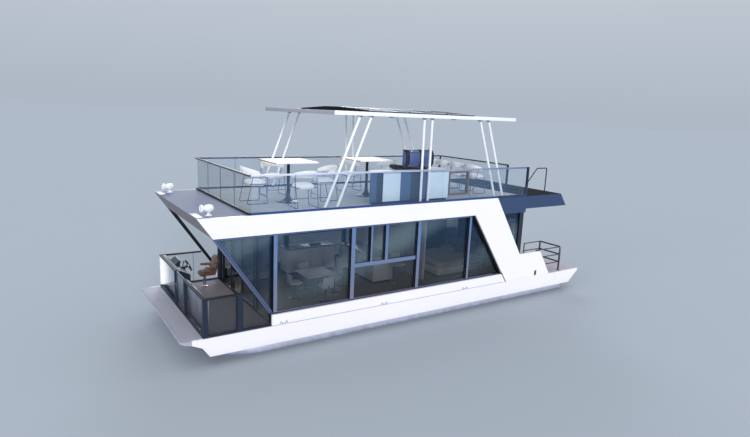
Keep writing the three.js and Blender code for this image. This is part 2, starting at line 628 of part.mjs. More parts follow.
function makeUpperRail() {
  const low = ROOF_Z + GAP;
  const high = UPPER_RAIL_Z;
  const { deep } = upper;
  const x1 = RAIL_FRONT_X;
  const x0 = RAIL_AFT_X;
  const y1 = upper.y;
  const run = (z0, z1, w) => [
    block([x0, y1 - w, z0], [x1, y1, z1]),
    block([x0, -y1, z0], [x1, -y1 + w, z1]),
    block([x1 - w, -y1, z0], [x1, y1, z1]),
    block([x0, -y1, z0], [x0 + w, upper.aftGapY, z1]),
  ];
  const posts = [
    block([upper.aftPostX - 30, y1 - deep, low], [upper.aftPostX + 45, y1, high]),
    block([x0, upper.aftGapY - 60, low], [x0 + deep, upper.aftGapY, high]),
    block([x0, -y1, low], [x0 + deep, -y1 + deep, high]),
    block([upper.aftPostX, y1 - deep, high - upper.rail], [x0 + 5, y1, high]),
    block([upper.aftPostX, y1 - deep, low], [x0 + 5, y1, low + upper.base]),
  ];
  const channel = run(low, low + upper.base, deep);
  const topRail = run(high - upper.rail, high, deep);
  add("upper_rail", join(channel, topRail, posts), "slate");
  const mid = y1 - deep - GAP;
  const z0 = low + 15;
  const z1 = high - 12;
  const noseX = x1 - deep - GAP;
  const aftX = x0 + deep + GAP;
  add("upper_glass", join(
    block([upper.aftPostX, mid - PANE, z0], [noseX, mid, z1]),
    block([aftX, -mid, z0], [noseX, PANE - mid, z1]),
    block([noseX - PANE, -mid, z0], [noseX, mid, z1]),
    block([aftX, -mid, z0], [aftX + PANE, upper.aftGapY - 4, z1]),
  ), "glass");
}

// Canopy on raked posts, with a raised solar array
const canopy = { x0: -3245, x1: 3350, thick: 75 };
const post = { footY: 2128, headY: 2190, r: 28 };
const postFeet = [3505, 3136, 341, 66, -2704, -3068];
const postHeads = [2545, 2193, 406, 120, -1749, -2101];
const footPlate = { long: 60, inner: 70, outer: 30, thick: 14 };
const lampX = [1457, -798]; // small lamps under the canopy
const array = {
  x0: -1650, x1: 2205, edgeY: 2030, flatY: 480, edgeZ: 90, flatZ: 165, thick: 38, rail: 50, end: 30,
};

function makeCanopy() {
  const low = ROOF_Z + GAP;
  const top = CANOPY_Z + canopy.thick;
  const slab = block([canopy.x0, -HALF_BEAM, CANOPY_Z], [canopy.x1, HALF_BEAM, top]);
  const { long, inner, outer, thick } = footPlate;
  const plate = (x, y, z0, z1) => block([x - long, y - inner, z0], [x + long, y + outer, z1]);
  const posts = postFeet.flatMap((x, i) => [
    bar([x, post.footY, low + thick - 4], [postHeads[i], post.headY, CANOPY_Z + 20], post.r, 8),
    plate(x, post.footY, low, low + thick),
    plate(postHeads[i], post.headY, CANOPY_Z - thick, CANOPY_Z + 5),
  ]);
  const lamps = lampX.map((x) => block([x - 60, 2010, CANOPY_Z - 22], [x + 60, 2120, CANOPY_Z + 5]));
  const half = [...posts, ...lamps];
  add("canopy", join(slab, half, half.map((piece) => toSide(piece, -1))), "white");
  const { x0, x1, edgeY, flatY, edgeZ, flatZ, end } = array;
  const crown = [[-edgeY, edgeZ], [-flatY, flatZ], [flatY, flatZ], [edgeY, edgeZ]]
    .map(([y, z]) => [y, top + z]);
  const under = crown.map(([y, z]) => [y, z - array.thick]).toReversed();
  const panel = crossPlate([...under, ...crown], x0, x1);
  const closed = [[-edgeY, top + GAP], [edgeY, top + GAP], ...crown.toReversed()];
  const ends = [[x0, x0 + end], [x1 - end, x1]].map(([from, to]) => crossPlate(closed, from, to));
  const rails = [-0.97, -0.55, -0.18, 0.18, 0.55, 0.97].map((share) => {
    const y = share * edgeY;
    const slope = Math.min(1, (edgeY - Math.abs(y)) / (edgeY - flatY));
    const high = top + edgeZ + slope * (flatZ - edgeZ) - array.thick / 2;
    return block([x0 + 5, y - array.rail / 2, top + GAP], [x1 - 5, y + array.rail / 2, high]);
  });
  add("solar_array", join(panel, ends, rails), "solar");
}

// Furniture on the upper deck
const laid = 8; // thickness of the laid deck covering
const floorZ = ROOF_Z + GAP + laid;
const chair = {
  padZ: 480, padHigh: 145, padShift: 40, half: 290, deep: 285, gauge: 295, r: 9,
  shellR: [312, 352], turn: 104,
};
// X and Z of the band that the chair's back keeps
const shellSide = [[-400, 800], [-400, 995], [130, 860], [130, 770]];

// A padded chair with a back that wraps round it, on two wire runners, facing +X before it is turned
function sledChair(x, y, deg) {
  const { padZ, padHigh, half, deep, gauge, r, padShift, shellR, turn } = chair;
  const ring = (inset, z) => Array.from({ length: 16 }, (_, i) => {
    const a = (Math.PI * (2 * i + 1)) / 16;
    const square = (c) => Math.sign(c) * Math.abs(c) ** 0.6 * (half - inset);
    return [square(Math.cos(a)) + padShift, square(Math.sin(a)), z];
  });
  const pad = wrap([
    ...ring(70, padZ), ...ring(15, padZ + 35), ...ring(0, padZ + 75), ...ring(25, padZ + 115),
    ...ring(110, padZ + padHigh),
  ]);
  const spread = THREE.MathUtils.degToRad(turn);
  const arc = (radius, step) => Array.from({ length: 15 }, (_, i) => {
    const a = Math.PI + step * (i / 7 - 1) * spread;
    return [radius * Math.cos(a), radius * Math.sin(a)];
  });
  const shell = common(
    planPlate([...arc(shellR[1], 1), ...arc(shellR[0], -1)], 600, 1100),
    sidePlate(shellSide, -400, 400),
  );
  const wire = (from, to) => bar(from, to, r, 4);
  const frames = sides.flatMap(([, sign]) => [
    wire([deep, sign * gauge, 0], [deep - 25, sign * (gauge - 35), padZ + 60]),
    wire([-deep, sign * gauge, 0], [-100, sign * 320, 860]),
    wire([-deep - r, sign * gauge, r - 2], [deep + r, sign * gauge, r - 2]),
    wire([deep - 20, sign * (gauge - 35), padZ + 50], [-190, sign * (gauge - 5), padZ + 50]),
  ]);
  const ties = [-170, 170].map((at) => wire([at, 5 - gauge, padZ + 50], [at, gauge - 5, padZ + 50]));
  const stretcher = wire([deep - 8, -gauge + 11, 170], [deep - 8, gauge - 11, 170]);
  const place = new THREE.Matrix4().makeRotationZ(THREE.MathUtils.degToRad(deg)).setPosition(x, y, floorZ);
  return [pad, shell, ...frames, ...ties, stretcher].map((piece) => piece.applyMatrix4(place));
}

const tables = { forward: [3897, 730], aft: [1189, 504] };
const tableTop = { x: 635, y: 610, z: 1141, thick: 36 };

function makeTable(name, [x, y]) {
  const under = tableTop.z - tableTop.thick + 2;
  const foot = [
    [0, 0], [335, 0], [335, 8], [250, 26], [120, 60], [60, 140], [45, 300], [42, 700], [60, 1060],
    [150, under], [0, under],
  ];
  const stand = groupAt(x, y, floorZ + GAP);
  const { x: halfX, y: halfY, z, thick } = tableTop;
  const top = block([-halfX, -halfY, z - thick], [halfX, halfY, z]);
  add("table_" + name, join(turned(foot, 20), top), "white", stand);
}

// Each stretch of deck covering: its stern and bow ends, and its chairs as X, Y and heading in degrees
const coverings = {
  forward: [2400, 5520, [[3865, 1632, -90], [2780, 760, 0], [3790, -600, 90], [4847, 578, 180]]],
  middle: [-1200, 2400 - GAP, [[1130, -620, 90], [0, -300, 0]]],
  aft: [-3984, -1200 - GAP, [[-2760, -980, 180], [-2760, -310, 180], [-2760, 360, 180], [-2760, 1050, 180]]],
};

function makeUpperFloor() {
  const edge = upper.y - upper.deep - GAP - PANE - 2;
  const { long, inner } = footPlate;
  const feet = postFeet.map((x) =>
    block([x - long - 8, post.footY - inner - 8, ROOF_Z - 50], [x + long + 8, HALF_BEAM, ROOF_Z + 50]));
  const notches = [...feet, ...feet.map((piece) => toSide(piece, -1))];
  for (const [name, [x0, x1, chairs]] of Object.entries(coverings)) {
    const sheet = cut(block([x0, -edge, ROOF_Z + GAP], [x1, edge, floorZ]), notches);
    add("deck_covering_" + name, join(sheet, chairs.flatMap((seatAt) => sledChair(...seatAt))), "upperFloor");
  }
  for (const [name, at] of Object.entries(tables)) makeTable(name, at);
}

// Bar: cupboards along the port balustrade, an open timber frame aft of them and a grill with a lid on top
const barUnit = { x0: -839, x1: 2048, innerX1: 1560, y0: 1190, y1: 2040, top: 930, slab: 34, kick: 60 };
const barDoors = [1810, 1604, 1000, 629, 291, -55, -606]; // joints between the doors on the outboard side
const sideFrame = { x0: -2320, y0: 1190, y1: 1310, board: 55, high: 770, midX: -1500 };
const grill = { x0: -235, x1: 793, y: 1750, deep: 520, low: 12, high: 52, wall: 18, band: 140, axisUp: 61 };
const lid = { high: 522, bulge: 190, skin: 10 };
const tray = { x1: 985, y0: 1400, y1: 1760, low: 20, high: 130 };

function makeBar() {
  const low = floorZ + GAP;
  const top = floorZ + barUnit.top;
  const { x0, x1, innerX1, y0, y1, slab, kick } = barUnit;
  const plan = (lip) => [[x0, y0 + lip], [x0, y1 - lip], [x1 - lip, y1 - lip], [innerX1 - lip, y0 + lip]];
  const grooves = barDoors.map((x) =>
    block([x - 4, y1 - 40, low + kick + 20], [x + 4, y1 + 20, top - slab - 14]));
  const body = cut(planPlate(plan(26), low + kick - 5, top - slab + 2), grooves);
  const plinth = planPlate(plan(70), low, low + kick);
  const counter = planPlate(plan(0), top - slab, top);
  const { board, high, midX } = sideFrame;
  const open = cut(
    block([sideFrame.x0, sideFrame.y0, low], [x0 + 30, sideFrame.y1, low + high]),
    [[sideFrame.x0 + board, midX], [midX + board, x0]].map(([from, to]) =>
      block([from, sideFrame.y0 - 50, low + board], [to, sideFrame.y1 + 50, low + high - board])),
  );
  add("bar_unit", join(body, plinth, counter, open), "panel");

  const deck = top + GAP;
  const front = grill.y - grill.deep;
  const pan = cut(
    block([grill.x0, front, deck + grill.low], [grill.x1, grill.y, deck + grill.high]),
    block([grill.x0 + 40, front + 60, deck + grill.low + 16], [grill.x1 - 40, grill.y - 60, deck + 300]),
  );
  const grateBars = Array.from({ length: 9 }, (_, i) => {
    const x = grill.x0 + 60 + ((grill.x1 - grill.x0 - 120) * i) / 8;
    return block([x - 8, front + 50, deck + grill.high - 18], [x + 8, grill.y - 50, deck + grill.high - 6]);
  });
  const feet = [grill.x0 + 60, grill.x1 - 160].map((x) =>
    block([x, front + 80, deck], [x + 100, grill.y - 40, deck + grill.low + 5]));
  const shelf = cut(
    block([grill.x1 - 20, tray.y0, deck + tray.low], [tray.x1, tray.y1, deck + tray.high]),
    block([grill.x1 - 60, tray.y0 - 50, deck + grill.high], [grill.x1 + 12, tray.y1 + 50, deck + 300]),
    block([grill.x1 + 30, tray.y0 + 18, deck + tray.low + 20], [tray.x1 - 18, tray.y1 - 18, deck + 300]),
  );
  const trayFoot = block(
    [tray.x1 - 120, tray.y0 + 60, deck],
    [tray.x1 - 60, tray.y1 - 60, deck + tray.low + 10],
  );
  const hingeX = [grill.x0 + 200, grill.x1 - 320]; // stern end of each hinge
  const barrel = { long: 120, r: 9, ear: 16, play: 1 };
  const axisZ = deck + grill.axisUp;
  const ears = hingeX.flatMap((x) => [x - barrel.ear - barrel.play, x + barrel.long + barrel.play].map((at) =>
    block([at, grill.y - 7, deck + grill.low], [at + barrel.ear, grill.y + 9, axisZ + 7])));
  add("grill_base", join(pan, grateBars, feet, shelf, trayFoot, ears), "navy");

  const hinge = groupAt(0, grill.y, axisZ);
  const dome = (inset, from) => {
    const points = Array.from({ length: 15 }, (_, i) => {
      const a = (Math.PI * i) / 14;
      const side = Math.abs(Math.cos(a)) ** 0.85 * Math.sign(Math.cos(a));
      return [(lid.bulge - inset) * Math.sin(a) ** 0.85, lid.high / 2 - (lid.high / 2 - inset) * side];
    });
    return [[from, inset], ...points, [from, lid.high - inset]];
  };
  const whole = crossPlate(dome(lid.skin, 0), grill.x0 + 10, grill.x1 - 10);
  const bandX = [[grill.x1 - grill.band, grill.x1], [130, 130 + grill.band], [grill.x0, grill.x0 + 90]];
  const bands = bandX.map(([from, to]) => crossPlate(dome(0, 0), from, to));
  const shell = cut(
    join(whole, bands),
    crossPlate(dome(lid.skin + grill.wall, -50), grill.x0 + 30, grill.x1 - 30),
    block([grill.x0 - 50, -50, -50], [grill.x1 + 50, 1, lid.high + 50]),
  );
  const knuckles = hingeX.flatMap((x) => [
    bar([x, 0, 0], [x + barrel.long, 0, 0], barrel.r, 10),
    block([x + 10, -6, 0], [x + barrel.long - 10, 12, 26]),
  ]);
  const gripZ = lid.high - 60;
  const grip = rail([
    [320, 70, gripZ], [320, 175, gripZ + 25], [600, 175, gripZ + 25], [600, 70, gripZ],
  ], 10, 6);
  add("grill_lid", join(shell, knuckles, grip), "navy", hinge);
}

// Searchlights on the bow roof
const searchlight = { x: 6450, y: 1885, axis: 172 };

function makeSearchlights() {
  const drumSide = [
    [0, -120], [48, -116], [80, -75], [90, -10], [86, 60],
    [60, 92], [60, 122], [86, 134], [86, 190], [0, 190],
  ];
  const { x, y, axis } = searchlight;
  for (const [name, sign] of sides) {
    const stand = groupAt(x, sign * y, ROOF_Z + GAP);
    const foot = turned([[0, 0], [78, 0], [78, 12], [36, 26], [30, 70], [0, 70]], 12);
    const drum = turned(drumSide, 16).rotateY(Math.PI / 2).translate(0, 0, axis);
    const yoke = block([-26, -116, 58], [26, 116, 74]);
    const ears = sides.map(([, s]) => block([-26, s * 108 - 8, 60], [26, s * 108 + 8, axis + 22]));
    const pin = bar([0, -116, axis], [0, 116, axis], 14, 8);
    add("searchlight_" + name, join(foot, drum, yoke, ears, pin), "white", stand);
  }
}

// Cabin furniture on its floor covering
function makeSaloon() {
  const low = DECK_Z + GAP;
  const top = low + 12;
  const x0 = aft.x1 + PANE + 4;
  const x1 = front.x0 - PANE - 4;
  const sheet = block([x0, -wallY + 2, low], [x1, wallY - 2, top]);
  const box = (a, b) => block([a[0], a[1], top - 2], [b[0], b[1], top + b[2]]);
  const pieces = [
    box([1100, -2050], [2900, -1450, 900]), // galley run
    box([-900, -2050], [-100, -1400, 2100]), // tall cupboards
    box([60, -1700], [820, 560, 900]), // counter across the cabin
    box([-1000, -2050], [-930, 900, 2390]), // bulkhead
    box([-3600, -1100], [-1600, 900, 480]), // bed
    box([-3700, -1150], [-3600, 950, 950]), // headboard
    box([3500, -2050], [4300, -1350, 420]), // sofa
    box([3500, -2050], [4300, -1850, 800]),
  ];
  const table = [2900, 560];
  const dining = turned([
    [0, 0], [260, 0], [260, 10], [60, 60], [45, 600], [120, 668], [200, 672], [0, 672],
  ], 24).translate(...table, top - 2);
  const [tableX, tableY] = table;
  const board = block([tableX - 475, tableY - 430, top + 665], [tableX + 475, tableY + 430, top + 700]);
  const onFloor = (x, y, deg, pieces) => {
    const turn = new THREE.Matrix4().makeRotationZ(THREE.MathUtils.degToRad(deg));
    return pieces.map((piece) => piece.applyMatrix4(turn.setPosition(x, y, top - 2)));
  };
  const stool = (x, y, deg, high) => onFloor(x, y, deg, [
    turned([[0, 0], [200, 0], [200, 8], [30, 40], [30, high + 2], [0, high + 2]], 16),
    block([-200, -200, high], [200, 200, high + 50]),
    block([-225, -190, high + 10], [-185, 190, high + 330]),
  ]);
  const places = [
    [2240, 560, 0, 430], [3560, 560, 180, 430], [2900, 1190, -90, 430], [2900, -70, 90, 430],
    [1683, 136, 180, 620], [24, 804, 90, 620],
  ];
  const stools = places.map((at) => stool(...at));
  add("saloon", join(sheet, pieces, dining, board, stools.flat()), "interior");
}

// Steerable drive under the stern, between the pontoons
const drive = { x: -6250, topZ: 1100, axisZ: 400, podR: 85, propR: 165 };

function makeDrive() {
  const beamLow = beams.low - GAP;
  add("drive_bracket", join(
    block([drive.x - 260, -180, drive.topZ], [drive.x + 260, 180, beamLow]),
    block([drive.x - 420, -60, drive.topZ + 20], [drive.x + 420, 60, beamLow]),
  ), "dark");
  const leg = groupAt(drive.x, 0, drive.axisZ);
  const tall = drive.topZ - GAP - drive.axisZ;
  const strut = sidePlate([[-95, 0], [110, 0], [70, tall - 60], [-60, tall - 60]], -24, 24);
  const collar = turned([[0, tall - 120], [70, tall - 120], [120, tall - 30], [120, tall], [0, tall]], 20);
  const pod = turned([
    [0, -190], [78, -188], [drive.podR, -120], [drive.podR, 150], [55, 260], [0, 300],
  ], 20).rotateY(Math.PI / 2);
  const fin = sidePlate([[-80, -60], [70, -60], [20, -230], [-50, -230]], -9, 9);
  add("drive_leg", join(strut, collar, pod, fin), "dark", leg);
  const spin = new THREE.Group();
  spin.position.x = -190 - GAP;
  leg.add(spin);
  const hub = turned([[0, 0], [72, 0], [66, 70], [40, 130], [0, 150]], 20).rotateY(-Math.PI / 2);
  const blades = Array.from({ length: 4 }, (_, i) => {
    const blade = block([-6, -45, 30], [6, 45, drive.propR]);
    return blade.rotateZ(0.6).translate(-60, 0, 0).rotateX((Math.PI / 2) * i);
  });
  add("propeller", join(hub, blades), "alloy", spin);
}

makePontoon("pontoon_port", 1);
makePontoon("pontoon_starboard", -1);
makeUnderdeck();
makeHull();
makeShells();
makeRoofs();
makeWindowFrames();
makeFrontWall();
makeAftWall();
makeStair();
makeRailings();
makeTerraceRail();
makeGate();
makeHelm();
makeUpperRail();
makeCanopy();
makeUpperFloor();
makeBar();
makeSearchlights();
makeSaloon();
makeDrive();

export default boat;
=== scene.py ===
import math

import bmesh
import bpy
from mathutils import Matrix, Vector


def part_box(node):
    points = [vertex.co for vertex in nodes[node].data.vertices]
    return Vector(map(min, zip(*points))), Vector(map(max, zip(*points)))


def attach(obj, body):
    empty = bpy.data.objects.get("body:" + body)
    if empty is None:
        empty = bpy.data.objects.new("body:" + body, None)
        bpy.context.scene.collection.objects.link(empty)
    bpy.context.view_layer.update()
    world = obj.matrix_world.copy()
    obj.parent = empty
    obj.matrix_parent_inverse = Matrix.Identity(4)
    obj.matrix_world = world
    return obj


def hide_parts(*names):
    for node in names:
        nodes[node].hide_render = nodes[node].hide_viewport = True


# A two-deck houseboat, dressed round its CAD frame
# +X bow, +Y port, +Z up; sizes are in millimetres unless a note says otherwise

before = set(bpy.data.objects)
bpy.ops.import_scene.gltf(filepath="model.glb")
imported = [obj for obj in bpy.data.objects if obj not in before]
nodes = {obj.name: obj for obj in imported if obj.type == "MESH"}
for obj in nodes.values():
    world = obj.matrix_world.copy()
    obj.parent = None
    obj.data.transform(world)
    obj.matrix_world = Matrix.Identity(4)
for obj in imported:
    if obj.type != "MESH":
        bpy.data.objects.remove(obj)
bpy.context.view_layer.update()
print("frame loaded:", len(nodes), "nodes")

mm = 0.001
waterline = 600  # above the pontoons' lowest line
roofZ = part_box("upper_deck")[1].z / mm
floorZ = roofZ + 8.3  # top of the laid deck covering
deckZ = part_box("main_deck")[1].z / mm


# Camera and light

cameraPlace = {
    "at": (10.1843, 14.4432, 6.8179),  # metres
    "turn": (78.8825, -2.4654, 146.5701),  # degrees about X, Y and Z
    "lens": 26.10,
    "sensor": 36.0,
}


def placed(name, data):
    # a new object of the scene that shows the data
    made = bpy.data.objects.new(name, data)
    bpy.context.scene.collection.objects.link(made)
    return made


def makeCamera():
    data = bpy.data.cameras.new("camera")
    data.lens = cameraPlace["lens"]
    data.sensor_width = cameraPlace["sensor"]
    data.clip_end = 1200
    camera = placed("camera", data)
    camera.location = cameraPlace["at"]
    camera.rotation_euler = [math.radians(angle) for angle in cameraPlace["turn"]]
    bpy.context.scene.camera = camera


makeCamera()
bpy.context.scene.view_settings.view_transform = "Standard"  # whites stay white under the soft light


# Shared shader groups

def groupWith(name, outputs, **inputs):
    # an input without a value is a vector and a tuple is a colour; returns what its nodes read and feed
    group = bpy.data.node_groups.new(name, "ShaderNodeTree")
    for label, value in inputs.items():
        kind = "Vector" if value is None else "Color" if isinstance(value, tuple) else "Float"
        socket = group.interface.new_socket(label.replace("_", " "), socket_type="NodeSocket" + kind)
        if value is not None:
            socket.default_value = value
    for label in outputs:
        kind = "Color" if label == "Color" else "Float"
        group.interface.new_socket(label, in_out="OUTPUT", socket_type="NodeSocket" + kind)
    return group.nodes.new("NodeGroupInput").outputs, group.nodes.new("NodeGroupOutput").inputs


def shade(colour):
    # a colour as the eye sees it, 0 to 255, in the shader's own numbers; one in those numbers stays
    def straight(value):
        value /= 255
        return value / 12.92 if value <= 0.04045 else ((value + 0.055) / 1.055) ** 2.4
    return colour if max(colour) <= 1 else [straight(value) for value in colour]


def feed(socket, value):
    # a number or colour is set on the socket, another socket is linked to it
    if isinstance(value, bpy.types.NodeSocket):
        socket.id_data.links.new(value, socket)
    else:
        socket.default_value = (*shade(value), 1) if socket.type == "RGBA" else value


def nodeWith(kind, values, **settings):
    # a new node in the tree of the first socket among its values, with all of them fed in
    tree = next(value.id_data for value in values.values() if isinstance(value, bpy.types.NodeSocket))
    node = tree.nodes.new("ShaderNode" + kind)
    for key, value in settings.items():
        setattr(node, key, value)
    for label, value in values.items():
        feed(node.inputs[label], value)
    return node


def noiseNode(vector, scale, detail=4.0, roughness=0.55):
    values = {"Vector": vector, "Scale": scale, "Detail": detail, "Roughness": roughness}
    return nodeWith("TexNoise", values).outputs["Fac"]


def cellsNode(vector, scale):
    return nodeWith("TexVoronoi", {"Vector": vector, "Scale": scale}).outputs["Distance"]


def rangeNode(value, fromLow, fromHigh, toLow=0.0, toHigh=1.0):
    values = {"Value": value, "From Min": fromLow, "From Max": fromHigh, "To Min": toLow, "To Max": toHigh}
    return nodeWith("MapRange", values).outputs["Result"]


def mathNode(operation, a, b=0.0):
    return nodeWith("Math", {0: a, 1: b}, operation=operation).outputs[0]


def times(a, b):
    return mathNode("MULTIPLY", a, b)


def plus(a, b):
    return mathNode("ADD", a, b)


def minus(a, b):
    return mathNode("SUBTRACT", a, b)


def mixColour(factor, a, b):
    return nodeWith("Mix", {0: factor, 6: a, 7: b}, data_type="RGBA").outputs[2]


def scaledVector(vector, scale):
    return nodeWith("Mapping", {"Vector": vector, "Scale": scale}).outputs[0]


def splitVector(vector):
    return nodeWith("SeparateXYZ", {0: vector}).outputs[:]


def buildSurfaceGroup():
    # slow drift of the colour, fine grain in the roughness, and a height for the bump
    put, out = groupWith("surfaceVariation", ("Color", "Roughness", "Height"), Vector=None,
                         Color=(0.8, 0.8, 0.8, 1), Drift=0.04, Drift_Scale=0.8, Grain_Scale=90.0, Roughness=0.4,
                         Spread=0.08)
    slow = noiseNode(put["Vector"], put["Drift Scale"], 3.0)
    fine = noiseNode(put["Vector"], put["Grain Scale"], 5.0)
    swing = times(rangeNode(slow, 0.25, 0.75, -1.0, 1.0), put["Drift"])
    scaled = nodeWith("VectorMath", {0: put["Color"], "Scale": plus(swing, 1.0)}, operation="SCALE")
    feed(out["Color"], scaled.outputs[0])
    both = minus(plus(slow, fine), 1.0)
    spread = times(both, put["Spread"])
    feed(out["Roughness"], plus(spread, put["Roughness"]))
    feed(out["Height"], fine)


def buildStainAndShadeGroup():
    # water stain that fades upwards from a level, broken up along the surface; on the pontoons it also paints the
    # shade at the waterline
    put, out = groupWith("waterStainAndShade", ("Color",), Vector=None, Color=(0.8, 0.8, 0.8, 1),
                         Mark_Color=(0.4, 0.4, 0.35, 1), Level=0.9, Reach=0.25, Amount=0.3)
    x, y, z = splitVector(put["Vector"])
    patchy = noiseNode(scaledVector(put["Vector"], (2.2, 2.2, 0.5)), 2.4, 6.0, 0.62)
    above = minus(z, put["Level"])
    fade = minus(1.0, mathNode("DIVIDE", above, put["Reach"]))
    broken = times(fade, rangeNode(patchy, 0.38, 0.66, 0.15, 1.0))
    mask = times(rangeNode(broken, 0.0, 1.0), put["Amount"])
    feed(out["Color"], mixColour(mask, put["Color"], put["Mark Color"]))


def buildJointGroup():
    # evenly spaced joint lines along one coordinate: 1 in the joint, 0 on the board
    put, out = groupWith("jointLines", ("Mask",), Coordinate=0.0, Pitch=0.1, Width=0.004)
    share = mathNode("FRACT", mathNode("DIVIDE", put["Coordinate"], put["Pitch"]))
    fromMiddle = mathNode("ABSOLUTE", minus(share, 0.5))
    distance = times(minus(0.5, fromMiddle), put["Pitch"])
    ratio = mathNode("DIVIDE", distance, put["Width"])
    feed(out["Mask"], rangeNode(ratio, 0.4, 0.6, 1.0, 0.0))


def buildSpeckleGroup():
    # small dark specks, as in a sprayed non-slip deck
    put, out = groupWith("speckle", ("Color", "Height"), Vector=None, Color=(0.5, 0.5, 0.5, 1),
                         Speck_Color=(0.2, 0.2, 0.2, 1), Scale=160.0, Amount=0.4)
    dots = rangeNode(cellsNode(put["Vector"], put["Scale"]), 0.12, 0.38, 1.0, 0.0)
    mask = times(dots, put["Amount"])
    feed(out["Color"], mixColour(mask, put["Color"], put["Speck Color"]))
    feed(out["Height"], dots)


def buildWeaveGroup():
    # threads over and under each other
    put, out = groupWith("weave", ("Height",), Vector=None, Threads=900.0)
    along, across, up = (mathNode("SINE", times(axis, put["Threads"]))
                         for axis in splitVector(put["Vector"]))
    total = plus(times(along, across), up)
    feed(out["Height"], rangeNode(total, -2.0, 2.0))


for build in (buildSurfaceGroup, buildStainAndShadeGroup, buildJointGroup, buildSpeckleGroup, buildWeaveGroup):
    build()


# Materials

def newMaterial(name, colour, roughness, metallic=0.0, **extra):
    # returns its shader and the coordinates that its patterns follow
    material = bpy.data.materials.new(name)
    material.use_nodes = True
    tree = material.node_tree
    shader = tree.nodes["Principled BSDF"]
    extra.update(Base_Color=colour, Roughness=roughness, Metallic=metallic)
    for label, value in extra.items():
        feed(shader.inputs[label.replace("_", " ")], value)
    return shader, tree.nodes.new("ShaderNodeTexCoord").outputs["Object"]


def placeGroup(name, **values):
    values = {label.replace("_", " "): value for label, value in values.items()}
    return nodeWith("Group", values, node_tree=bpy.data.node_groups[name]).outputs


def addBump(shader, height, strength, distance):
    bump = nodeWith("Bump", {"Strength": strength, "Distance": distance, "Height": height})
    feed(shader.inputs["Normal"], bump.outputs[0])


def withSurface(shader, vector, colour, roughness, drift=0.05, driftScale=0.8, grain=90.0, spread=0.1,
                bump=(0.08, 0.001), height=None):
    out = placeGroup("surfaceVariation", Vector=vector, Color=colour, Drift=drift,
                     Drift_Scale=driftScale, Grain_Scale=grain, Roughness=roughness, Spread=spread)
    feed(shader.inputs["Base Color"], out["Color"])
    feed(shader.inputs["Roughness"], out["Roughness"])
    if height is None:
        height = out["Height"]
    else:
        height = plus(times(out["Height"], 0.35), height)
    addBump(shader, height, *bump)


